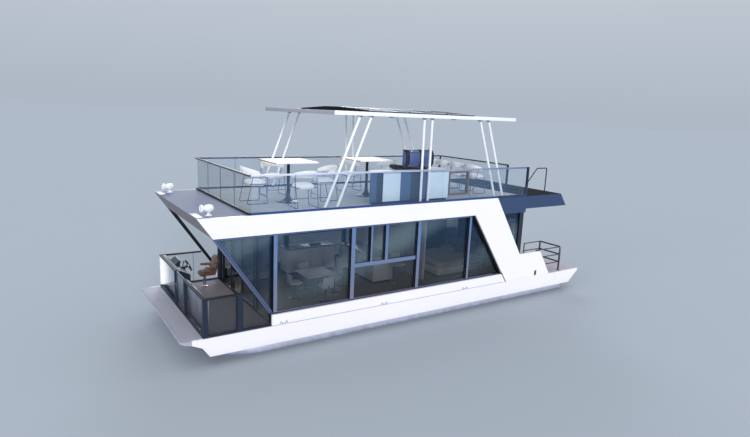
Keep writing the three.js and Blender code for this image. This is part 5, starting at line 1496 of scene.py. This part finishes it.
grill = {
    "x": (-235, 793), "y": (1230, 1750), "low": 12, "high": 52, "shelf": (985, 1400, 1760, 20, 130),
    "axisUp": 61, "lidHigh": 522, "bulge": 190, "skin": 10, "wall": 18, "hingeX": (-35, 473), "barrel": 120,
    "bands": ((653, 793), (130, 270), (-235, -145)), "band": 9, "knobs": (-90, 60, 210, 560, 700),
    "knob": [(0, 0), (17, 0), (17, 3), (13, 5), (12, 15), (9, 18), (0, 18)], "bars": 22, "crossBars": 130,
    "grip": ((320, 70, 0), (320, 172, 25), (600, 172, 25), (600, 70, 0)), "rim": 44, "sunk": 24,
}
grillDeck = floorZ + bar["top"] + rest


def domeOutline(inset, count=28):
    points = []
    high, bulge = grill["lidHigh"], grill["bulge"]
    for i in range(count + 1):
        angle = math.pi * i / count
        side = math.copysign(abs(math.cos(angle)) ** 0.85, math.cos(angle))
        points.append(((bulge - inset) * abs(math.sin(angle)) ** 0.85, high / 2 - (high / 2 - inset) * side))
    return points


def panPart(low, high):
    pan = boxPart(low, high)
    top = [face for face in pan.faces if face.normal.z > 0.9]
    bmesh.ops.inset_region(pan, faces=top, thickness=grill["rim"])
    sunk = bmesh.ops.extrude_face_region(pan, geom=top)
    bmesh.ops.translate(pan, vec=(0, 0, -grill["sunk"]), verts=newVerts(sunk))
    bmesh.ops.delete(pan, geom=top, context="FACES_ONLY")
    return bevelled(pan, [e for e in pan.edges if e.calc_length() > 300 and len(e.link_faces) == 2], 4)


def makeGrillBox():
    x0, x1 = grill["x"]
    y0, y1 = grill["y"]
    deck, low, high = grillDeck, grillDeck + grill["low"], grillDeck + grill["high"]
    parts = [panPart((x0, y0, low), (x1, y1, high))]
    for i in range(grill["bars"]):
        x = x0 + 62 + (x1 - x0 - 124) * i / (grill["bars"] - 1)
        parts.append((tubePart([(x, y0 + 46, high - 9), (x, y1 - 46, high - 9)], 6, sides=8), 1))
    for y in (y0 + grill["crossBars"], (y0 + y1) / 2, y1 - grill["crossBars"]):
        parts.append((tubePart([(x0 + 46, y, high - 17), (x1 - 46, y, high - 17)], 5, sides=8), 1))
    for x in grill["knobs"]:
        parts.append((moved(turnedPart(grill["knob"], 28), at(x, y0 + 1, (low + high) / 2) @ turned(90, "X")), 2))
    for x in (x0 + 60, x1 - 160):
        parts.append((boxPart((x, y0 + 80, deck), (x + 100, y1 - 40, low + 4), 2), 1))
    end, near, far, foot, top = grill["shelf"]
    for a, b, c, d in ((x1 + 12, end, near, near + 16), (x1 + 12, end, far - 16, far), (end - 16, end, near, far),
                       (x1 + 12, x1 + 28, near, far)):
        parts.append(boxPart((a, c, deck + foot), (b, d, deck + top), 4))
    parts += [boxPart((x1 - 6, near + 4, deck + foot), (end - 4, far - 4, deck + foot + 18), 2),
              (boxPart((end - 120, near + 60, deck), (end - 60, far - 60, deck + foot + 6), 2), 1)]
    for hinge in grill["hingeX"]:
        for x in (hinge - 17, hinge + grill["barrel"] + 1):
            parts.append((boxPart((x, y1 - 6, low + 2), (x + 16, y1 + 9, deck + grill["axisUp"] + 7), 2), 1))
    makePiece("grill_box", parts, ["grillBand", "castIron", "polishedSteel"], stands=["grill_base"])


def domePart(x0, x1):
    shell = platePart(domeOutline(grill["skin"]), "x", x0, x1)
    back = [face for face in shell.faces if face.normal.y < -0.99]
    bmesh.ops.delete(shell, geom=back, context="FACES")
    bevelled(shell, [e for e in shell.edges if len(e.link_faces) == 2 and e.calc_face_angle() > 1.2], 14, 4)
    bmesh.ops.solidify(shell, geom=shell.faces[:], thickness=grill["wall"])
    return shell


# a dark band over the lid's arc: painted reflection
def reflectionBandPart(x0, x1):
    darkBand = bmesh.new()
    points = [darkBand.verts.new((x0, y, z)) for y, z in domeOutline(0)]
    arcs = [darkBand.edges.new(pair) for pair in zip(points, points[1:])]
    grown = bmesh.ops.extrude_edge_only(darkBand, edges=arcs)
    bmesh.ops.translate(darkBand, vec=(x1 - x0, 0, 0), verts=newVerts(grown))
    outward(darkBand)
    if sum(face.normal.y for face in darkBand.faces) < 0:
        bmesh.ops.reverse_faces(darkBand, faces=darkBand.faces)
    bmesh.ops.solidify(darkBand, geom=darkBand.faces[:], thickness=grill["band"])
    return darkBand


def makeGrillHood():
    x0, x1 = grill["x"]
    # the dark bands across the lid are painted reflection, where the lid's reflection is dark
    parts = [domePart(x0 + 10, x1 - 10)] + [(reflectionBandPart(a + 1, b - 1), 1) for a, b in grill["bands"]]
    grip = [(x, y, grill["lidHigh"] - 60 + z) for x, y, z in grill["grip"]]
    parts.append((tubePart(grip, 11, 26, 16), 2))
    for x in grill["hingeX"]:
        end = x + grill["barrel"]
        parts += [(rodPart((x, 0, 0), (end, 0, 0), 9, 20, 1), 3),
                  (boxPart((x + 10, -6, 2), (end - 10, 12, 26), 2), 3)]
    makePiece("grill_hood", parts, ["grillNavy", "grillBand", "polishedSteel", "castIron"],
              "grill_lid", ["grill_lid"], place=at(0, grill["y"][1], grillDeck + grill["axisUp"]))


makeBar()
makeGrillBox()
makeGrillHood()
print("bar and grill made")


# Saloon: boards, galley, cupboards, counter, bulkhead, bed, sofa, dining table and seats

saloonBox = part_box("saloon")
saloonLow = saloonBox[0].z / mm + 12
saloon = {
    # boxes: low corner, high corner, edge and finish
    "galley": (((1500, -1930, 898), (1990, -1560, 903), 2, 3), ((1530, -1900, 901), (1960, -1590, 905), 1, 2),
               ((2250, -1990, 899), (2810, -1520, 905), 3, 2)),
    "counter": (((52, -1708, 872), (828, 568, 898), 6, 1),),
    "bulkhead": (((-996, -2046, 0), (-934, 896, 2390), 2, 0),),
    "bed": (((-3590, -1090, 60), (-1610, 890, 300), 12, 0), ((-3520, -1020, 0), (-1680, 820, 62), 4, 1)),
    "sofa": (((3504, -2046, 50), (4296, -1356, 260), 10, 0), ((3560, -2000, 0), (4240, -1400, 52), 4, 1)),
    "mattress": ((-3596, -1096, 298), (-1604, 896, 480)), "sofaPad": ((3504, -1850, 256), (4296, -1354, 420)),
    "boards": 21, "plinth": 90, "top": 38, "door": 20, "gap": 6, "low": 900, "tall": 2100,
    "hobs": ((2400, -1860, 80), (2400, -1640, 100), (2660, -1860, 100), (2660, -1640, 80)),
    "tap": [(1745, -1960, 900), (1745, -1960, 1150), (1745, -1780, 1150), (1745, -1780, 1080)],
    "wall": {"y": -2040, "panels": 11, "wide": 266, "faces": ((-1000, -995), (-935, -930))},
    "pillows": {"port": 420, "starboard": -620}, "headboard": (6, -973, 349),
    "table": (2900, 560), "tableHalf": (475, 430), "tableZ": (665, 700),
    "tableFoot": [(0, 0), (252, 0), (258, 5), (240, 16), (120, 34), (60, 62), (46, 120), (43, 600), (60, 640),
                  (150, 662), (0, 662)],
    "seatFoot": [(0, 0), (196, 0), (199, 4), (190, 10), (60, 20), (32, 40), (28, 60)],
    # X, Y, the way it faces and the height of its seat
    "seats": ((2240, 560, 0, 430), (3560, 560, 180, 430), (2900, 1190, -90, 430), (2900, -70, 90, 430),
              (1683, 136, 180, 620), (24, 804, 90, 620)),
}


def boxParts(rows):
    return [(boxPart(low, high, edge), number) for low, high, edge, number in rows]


def cupboardParts(low, high, axis, count, tall, lid):
    # a carcass on a plinth with doors on its far side along the axis, and a bar grip on each door
    (x0, y0), (x1, y1) = low, high
    plinth, thick, gap = saloon["plinth"], saloon["door"], saloon["gap"]
    first, last, out = (y0 + 8, y1 - 8, x1 - 4) if axis == "x" else (x0 + 8, x1 - 8, y1 - 4)

    def spot(along, away, z):
        return (away, along, z) if axis == "x" else (along, away, z)

    parts = [boxPart((x0 + 8, y0 + 8, plinth), spot(last, out - 4 - thick, tall - lid), 2),
             (boxPart((x0 + 60, y0 + 60, 0), (x1 - 60, y1 - 60, plinth), 1), 2)]
    if lid:
        parts.append((boxPart((x0, y0, tall - lid), (x1, y1, tall), 4), 1))
    step = (last - first) / count
    for i in range(count):
        start, end = first + i * step + gap / 2, first + (i + 1) * step - gap / 2
        z0, z1 = plinth + gap, tall - lid - gap
        parts.append(boxPart(spot(start, out - thick, z0), spot(end, out, z1), 4))
        grip = [(out, z1 - 90), (out + 28, z1 - 90), (out + 28, z1 - 270), (out, z1 - 270)]
        parts.append((tubePart([spot(end - 50, away, z) for away, z in grip], 5, 10, 8, 3), 3))
    return parts


def saloonPiece(name, parts, finishes, fill=None, stands=()):
    makePiece(name, parts, finishes, stands=stands, place=at(0, 0, saloonLow), fill=fill)


def makeSaloonFloor():
    low, high = saloonBox
    x0, y0, x1, y1 = low.x / mm, low.y / mm, high.x / mm, high.y / mm
    step = (y1 - y0) / saloon["boards"]
    parts = []
    for i in range(saloon["boards"]):
        ends = (x0, x0 + 1700 + 520 * (i % 4), x0 + 5200 + 520 * ((i + 2) % 4), x1)
        for start, end in zip(ends, ends[1:]):
            parts.append(boxPart((start, y0 + i * step, -11), (end - 1.5, y0 + (i + 1) * step - 1.5, 0), 1, 1))
    saloonPiece("saloon_floor", parts, ["cabinOak"], stands=["saloon"])


def ringOnTop(x, y, z, radius):
    profile = [(radius - 8, 0), (radius, 0), (radius, 2), (radius - 8, 2), (radius - 8, 0)]
    return moved(turnedPart(profile, 24), at(x, y, z))


def makeSaloonCupboards():
    finishes = ["saloonPanel", "saloonTop", "rubber", "polishedSteel"]
    low, tall, lid, wall = saloon["low"], saloon["tall"], saloon["top"], saloon["wall"]
    parts = cupboardParts((1100, -2050), (2900, -1450), "y", 4, low, lid)
    parts += boxParts(saloon["galley"]) + [(tubePart(saloon["tap"], 12, 60, 12, 6), 3)]
    parts += [(ringOnTop(x, y, low + 5, radius), 3) for x, y, radius in saloon["hobs"]]
    saloonPiece("saloon_galley", parts, finishes)
    parts = cupboardParts((60, -1700), (820, 560), "x", 4, low, lid)
    saloonPiece("saloon_counter", parts + boxParts(saloon["counter"]), finishes)
    saloonPiece("saloon_cupboards", cupboardParts((-900, -2050), (-100, -1400), "y", 2, tall, 0), finishes)
    parts = boxParts(saloon["bulkhead"])
    for i in range(wall["panels"]):
        y = wall["y"] + i * wall["wide"]
        for x0, x1 in wall["faces"]:
            parts.append(boxPart((x0, y + 4, 60), (x1, y + wall["wide"] - 4, 2360), 2))
    saloonPiece("saloon_bulkhead", parts, finishes)


def softBlock(low, high, crown, squareness, cuts=12):
    size = [b - a for a, b in zip(low, high)]
    middle = at((low[0] + high[0]) / 2, (low[1] + high[1]) / 2, low[2])
    return moved(puffed(cushionPart(size, crown, squareness, cuts, 4)), middle)


def makeSaloonSoft():
    saloonPiece("saloon_bed_base", boxParts(saloon["bed"]), ["saloonPanel", "rubber"])
    mattress = softBlock(*saloon["mattress"], 0.1, 0.12, 18)
    saloonPiece("saloon_mattress", [mattress], ["linenCloth"], 0.5)
    for name, y in saloon["pillows"].items():
        pillow = softBlock((-3590, y - 330, 440), (-3150, y + 330, 590), 0.7, 0.5)
        saloonPiece("saloon_pillow_" + name, [pillow], ["cushionCloth"], 0.9)
    count, first, step = saloon["headboard"]
    panels = [moved(cushionPart((900, 345, 96), 0.5, 0.3, 8, 3), at(-3698, first + i * step, 497) @ turned(90, "Y"))
              for i in range(count)]
    saloonPiece("saloon_headboard", panels, ["sofaCloth"], 0.6)
    saloonPiece("saloon_sofa_base", boxParts(saloon["sofa"]), ["saloonPanel", "rubber"])
    saloonPiece("saloon_sofa_pad", [softBlock(*saloon["sofaPad"], 0.35, 0.3)], ["sofaCloth"], 0.7)
    backPad = puffed(cushionPart((540, 790, 180), 0.4, 0.3, 10, 4))
    upright = at(3900, -2040, 530) @ turned(-90, "X") @ turned(90, "Z")
    saloonPiece("saloon_sofa_back", [moved(backPad, upright)], ["sofaCloth"], 0.7)


def seatShell(high):
    shell = bmesh.new()
    bmesh.ops.create_grid(shell, x_segments=12, y_segments=8, size=1.0)
    for vert in shell.verts:
        u, v = vert.co.x, vert.co.y
        vert.co = (-214 + 34 * u * u - 12 * v, 186 * u * (1 - 0.1 * max(v, 0) ** 2), high + 170 + 158 * v)
    bmesh.ops.solidify(shell, geom=shell.faces[:], thickness=12)
    return outward(shell)


def makeSaloonSeats():
    (x, y), (halfX, halfY), (z0, z1) = saloon["table"], saloon["tableHalf"], saloon["tableZ"]
    parts = [moved(turnedPart(saloon["tableFoot"], 40), at(x, y, 0)),
             (boxPart((x - halfX, y - halfY, z0), (x + halfX, y + halfY, z1), 8, 3), 1)]
    saloonPiece("saloon_table", parts, ["saloonTop", "saloonPanel"])
    pad = puffed(cushionPart((398, 398, 62), 0.35, 0.5, 10, 3))
    frames, pads = [], []
    for x, y, heading, high in saloon["seats"]:
        place = at(x, y, 0) @ turned(heading, "Z")
        pole = turnedPart(saloon["seatFoot"] + [(28, high - 10), (60, high), (0, high)], 32)
        frames += [moved(pole, place), (moved(seatShell(high), place), 1),
                   moved(boxPart((-206, -24, high - 6), (40, 24, high + 4), 3), place),
                   moved(boxPart((-210, -22, high - 6), (-198, 22, high + 80), 3), place)]
        pads.append(moved(pad.copy(), place @ at(0, 0, high + 2)))
    pad.free()
    saloonPiece("saloon_seat_frames", frames, ["polishedSteel", "saloonPanel"])
    saloonPiece("saloon_seat_pads", pads, ["cushionCloth"], 0.6)


makeSaloonFloor()
makeSaloonCupboards()
makeSaloonSoft()
makeSaloonSeats()
print("saloon furnished")


# Searchlights: waisted drum with a glass face, on a forked stand

searchlight = {
    "x": 6450, "y": 1885, "axis": 172, "ridges": (-30, 0, 30), "ridge": [(0, 0), (93, 0), (93, 8), (0, 8)],
    "drum": [(0, -120), (30, -119), (52, -112), (70, -96), (82, -70), (90, -20), (90, 30), (84, 62), (66, 84),
             (58, 96), (58, 116), (66, 126), (84, 134), (88, 142), (88, 184), (84, 190), (76, 190), (74, 178),
             (0, 178)],
    "lens": [(0, 176), (73, 176), (60, 184), (0, 187)],
    "foot": [(0, 0), (78, 0), (78, 9), (70, 13), (40, 22), (32, 34), (30, 66), (0, 66)],
}


def makeSearchlights():
    axis = searchlight["axis"]
    aim = at(0, 0, axis) @ turned(90, "Y")
    for name, sign in sidesOfBoat:
        parts = [moved(turnedPart(searchlight["drum"], 40), aim)]
        parts += [moved(turnedPart(searchlight["ridge"], 40), aim @ at(0, 0, z)) for z in searchlight["ridges"]]
        parts += [(moved(turnedPart(searchlight["lens"], 40), aim), 1), turnedPart(searchlight["foot"], 32),
                  tubePart([(0, -108, axis), (0, -108, 66), (0, 108, 66), (0, 108, axis)], 10, 34, 12)]
        parts += [(rodPart((0, s * 88, axis), (0, s * 116, axis), 17, 20, 3), 2) for s in (-1, 1)]
        makePiece("searchlight_piece_" + name, parts, ["fittingWhite", "lampLens", "polishedSteel"],
                  stands=["searchlight_" + name], place=at(searchlight["x"], sign * searchlight["y"], roofZ + rest))


makeSearchlights()
print("searchlights made")


# Helm: seat on its pedestal, wheel, screens and dials

seat = {
    "x": 5549, "y": -1645, "base": 1710.6, "pad": (520, 470, 128), "back": (590, 446, 118), "arm": (400, 62, 76),
    "lean": -15, "arms": 260,
    # sewn channels: across which axis, where, how deep and how wide
    "padChannels": ((1, (-150, 150), 14, 26), (0, (-40, 90), 8, 22)),
    "backChannels": ((1, (-140, 140), 14, 26), (0, (-150, -20, 110, 190), 8, 20)),
    "pedestal": [(0, 0), (95, 0), (95, 7), (88, 12), (60, 16), (50, 22), (44, 40), (42, 60)],
    "bolts": 6, "boltCircle": 76,
}


def leatherPad(size, cuts, channels):
    # a puffed pad whose upper face sinks a little along the channels
    part = puffed(cushionPart(size, 0.35, 0.5, cuts, 5))
    part.normal_update()
    for across, grooves, deep, wide in channels:
        for vert in part.verts:
            for groove in grooves:
                near = abs(vert.co[across] - groove) / wide
                if near < 1 and vert.normal.z > 0.3:
                    vert.co.z -= deep * (1 - near) ** 2 * (1 + near)
    return part


def seatPiece(name, part, place, fill, stands=()):
    makePiece(name, [part], ["brownLeather"], "seat", stands, place, fill=fill)


def makeSeat():
    place = at(seat["x"], seat["y"], seat["base"])
    pad = leatherPad(seat["pad"], 26, seat["padChannels"])
    for vert in pad.verts:
        vert.co.z += max(0.0, (abs(vert.co.y) - 150) / 85) * 8 - max(0.0, (vert.co.x - 150) / 110) ** 2 * 34
    seatPiece("helm_seat_pad", pad, place @ at(-65, 0, 8), 0.8, ["helm_seat"])
    back = leatherPad(seat["back"], 30, seat["backChannels"])
    for vert in back.verts:
        u, v, w = vert.co
        narrow = 1 - max(0.0, (u - 170) / 125) ** 2 * 0.16
        bolster = max(0.0, (abs(v) - 140) / 80) * 16 * (1 if u < 150 else 0.3)
        headrest = 18 * math.exp(-((u - 215) / 60) ** 2)
        lumbar = 12 * math.exp(-((u + 150) / 90) ** 2)
        bend = 0.00012 * (u + 100) ** 2
        front = 1 if w > 50 else 0
        vert.co = (u, v * narrow, w + front * (bolster + headrest + lumbar) - bend)
    # up the back is local X, towards the sitter is local Z
    stand = Matrix(((0, 0, 1, 0), (0, -1, 0, 0), (1, 0, 0, 0), (0, 0, 0, 1)))
    seatPiece("helm_seat_back", back, place @ at(-352, 0, 306) @ turned(seat["lean"], "Y") @ stand, 0.8)
    for name, sign in sidesOfBoat:
        arm = cushionPart(seat["arm"], 0.3, 0.5, 16, 4)
        for vert in arm.verts:
            vert.co.z += 0.11 * (vert.co.x + 200) * (1 if vert.co.z > 38 else 0.75)
        seatPiece("helm_armrest_" + name, arm, place @ at(-140, sign * seat["arms"], 200), 0.9)
    parts = []
    for sign in (1, -1):
        parts += [tubePart([(-330, sign * 205, 236), (-330, sign * 262, 236), (-120, sign * 262, 214)], 11, 26, 14),
                  tubePart([(-120, sign * 120, 6), (-292, sign * 120, 6), (-350, sign * 120, 150)], 13, 40, 14)]
    parts.append((boxPart((-290, -160, 1), (130, 160, 12), 4), 1))
    makePiece("helm_seat_frame", parts, ["polishedSteel", "wheelBlack"], "seat", place=place)


def makePedestal():
    tall = seat["base"] - 2 * rest - deckZ
    profile = seat["pedestal"] + [(42, tall * 0.5), (36, tall * 0.5 + 4), (36, tall - 40), (60, tall - 26),
                                  (110, tall - 12), (110, tall), (0, tall)]
    parts = [turnedPart(profile, 40)]
    for i in range(seat["bolts"]):
        turn = turned(360 * i / seat["bolts"], "Z")
        parts.append((moved(rodPart((seat["boltCircle"], 0, 10), (seat["boltCircle"], 0, 24), 8, 6), turn), 1))
    parts.append((tubePart([(30, 0, tall - 60), (90, -60, tall - 64), (140, -90, tall - 58)], 5, 20), 2))
    makePiece("helm_pedestal", parts, ["polishedSteel", "brassBolt", "wheelBlack"],
              stands=["seat_pedestal"], place=at(seat["x"], seat["y"], deckZ + rest))


wheel = {
    "at": (6022, -1645, 2067), "lean": 25, "radius": 180, "rim": 15, "spokes": 3, "steps": 72,
    "hub": [(0, -20), (45, -20), (46, -16), (46, 8), (40, 15), (26, 20), (24, 28), (0, 30)],
}


def makeWheel():
    lean, radius = math.radians(wheel["lean"]), wheel["radius"]
    axis = Vector((-math.cos(lean), 0, math.sin(lean)))
    place = at(*wheel["at"]) @ Vector((0, 0, 1)).rotation_difference(axis).to_matrix().to_4x4()
    rim = bmesh.new()
    bmesh.ops.create_circle(rim, cap_ends=False, segments=20, radius=wheel["rim"],
                            matrix=at(radius, 0, 0) @ turned(90, "X"))
    bmesh.ops.spin(rim, geom=rim.verts[:] + rim.edges[:], cent=(0, 0, 0), axis=(0, 0, 1), angle=math.tau,
                   steps=wheel["steps"], use_merge=True)
    bmesh.ops.remove_doubles(rim, verts=rim.verts, dist=0.01)
    outward(rim)
    for vert in rim.verts:
        around = math.atan2(vert.co.y, vert.co.x)
        vert.co.z -= 1.6 * max(0.0, math.cos(around * 12)) ** 6 * (1 if vert.co.z < 0 else 0)
    parts = [rim, (turnedPart(wheel["hub"], 36), 1)]
    for i in range(wheel["spokes"]):
        spoke = tubePart([(30, 0, -4), (90, 0, -8), (radius - 4, 0, 0)], 9, 30, 12)
        bmesh.ops.scale(spoke, vec=(1, 1.7, 0.8), verts=spoke.verts)
        parts.append((moved(spoke, turned(360 * i / wheel["spokes"], "Z")), 1))
    makePiece("helm_wheel_piece", parts, ["wheelBlack", "polishedSteel"], "wheel", ["helm_wheel"],
              place)


helm = {
    "hoodY": (-1900, -1390), "screenTop": (6314, 2308), "screenFoot": (6348, 2105), "dials": (-1125, -990, -855),
    "dashFoot": (6230, 2080), "dashTop": (6510, 2230), "switches": 6, "switchStep": 52,
    "smallDial": [(0, 0), (36, 0), (36, 9), (31, 11), (29, 7), (0, 7)],
    "dial": [(0, 0), (46, 0), (46, 7), (41, 10), (39, 6), (0, 6)],
}


def makeHelm():
    # local X runs up the hood's aft face, local Z stands off it
    (topX, topZ), (footX, footZ) = helm["screenTop"], helm["screenFoot"]
    up = Vector((topX - footX, 0, topZ - footZ)).normalized()
    out = Vector((-up.z, 0, up.x))
    face = Matrix((up, out.cross(up), out)).transposed().to_4x4()
    face.translation = ((topX + footX) / 2, sum(helm["hoodY"]) / 2, (topZ + footZ) / 2)
    parts = [moved(ringPart([(-86, -236), (86, -236), (86, 236), (-86, 236)], "z", 0, 11, 12), face)]
    parts += [(moved(boxPart((-66, a, 0), (66, b, 7), 3), face), 1) for a, b in ((-226, -84), (-70, 130))]
    parts += [(moved(turnedPart(helm["smallDial"], 36), face @ at(x, 182, 0)), 2) for x in (-34, 40)]
    (dashX, dashZ), (backX, backZ) = helm["dashFoot"], helm["dashTop"]
    slope = Matrix.Rotation(-math.atan2(backZ - dashZ, backX - dashX), 4, "Y")
    dash = at((dashX + backX) / 2, 0, (dashZ + backZ) / 2) @ slope
    for y in helm["dials"]:
        parts += [(moved(turnedPart(helm["dial"], 40), dash @ at(10, y, 0)), 2),
                  moved(boxPart((-13, y - 1.5, 5), (20, y + 1.5, 8), 0.8, 1), dash)]
    for i in range(helm["switches"]):
        y = helm["dials"][0] + 10 + i * helm["switchStep"]
        parts.append(moved(boxPart((-100, y - 11, 0), (-64, y + 11, 7), 2.5), dash))
    makePiece("helm_instruments", parts, ["wheelBlack", "screenGlass", "polishedSteel"])


makeSeat()
makePedestal()
makeWheel()
makeHelm()
print("helm made")


# Steerable drive and its propeller

drive = {
    "x": -6250, "axisZ": 400, "top": 1100, "hubX": -190.3, "radius": 165, "blades": 4, "bladeThick": 7,
    "pod": [(0, -190), (70, -190), (78, -186), (82, -150), (85, -110), (85, 140), (80, 185), (66, 232), (44, 268),
            (20, 291), (0, 300)],
    "fin": [(-80, -60), (70, -60), (48, -150), (20, -230), (-50, -230), (-74, -140)],
    "plate": [(-110, 132), (118, 132), (96, 138), (-150, 138)],
    "hub": [(0, 0), (70, 0), (72, 6), (70, 40), (66, 72), (54, 106), (38, 132), (18, 147), (0, 150)],
}


def makeDrive():
    tall = drive["top"] - rest - drive["axisZ"]
    leg = [(-95, -60), (-60, -60), (110, -60), (100, 200), (86, tall - 90), (-74, tall - 90), (-92, 200)]
    collar = [(0, tall - 140), (52, tall - 140), (70, tall - 116), (96, tall - 60), (119, tall - 34), (120, tall),
              (0, tall)]
    parts = [moved(turnedPart(drive["pod"], 40), turned(90, "Y")), platePart(leg, "y", -24, 24, 11, 3),
             turnedPart(collar, 40), platePart(drive["fin"], "y", -9, 9, 4, 2),
             platePart(drive["plate"], "y", -62, 62, 2, 1)]
    makePiece("drive_unit", parts, ["driveBlack"], "drive", ["drive_leg"],
              at(drive["x"], 0, drive["axisZ"]))


def bladePart():
    part = bmesh.new()
    bmesh.ops.create_grid(part, x_segments=8, y_segments=12, size=1.0)
    for vert in part.verts:
        chord, span = vert.co.x, (vert.co.y + 1) / 2
        wide = 52 * math.sqrt(max(0.02, 1 - ((span - 0.55) / 0.62) ** 2))
        twist = math.radians(62 - 34 * span)
        along = chord * wide + 14 * span ** 2
        vert.co = (along * math.cos(twist), along * math.sin(twist), 50 + (drive["radius"] - 50) * span)
    outward(part)
    bmesh.ops.solidify(part, geom=part.faces[:], thickness=drive["bladeThick"])
    return part


def makePropeller():
    parts = [moved(turnedPart(drive["hub"], 40), turned(-90, "Y"))]
    parts += [moved(bladePart(), at(-62, 0, 0) @ turned(360 * i / drive["blades"], "X"))
              for i in range(drive["blades"])]
    makePiece("propeller_piece", parts, ["polishedSteel"], "propeller", ["propeller"],
              at(drive["x"] + drive["hubX"], 0, drive["axisZ"]))


makeDrive()
makePropeller()
print("drive made")
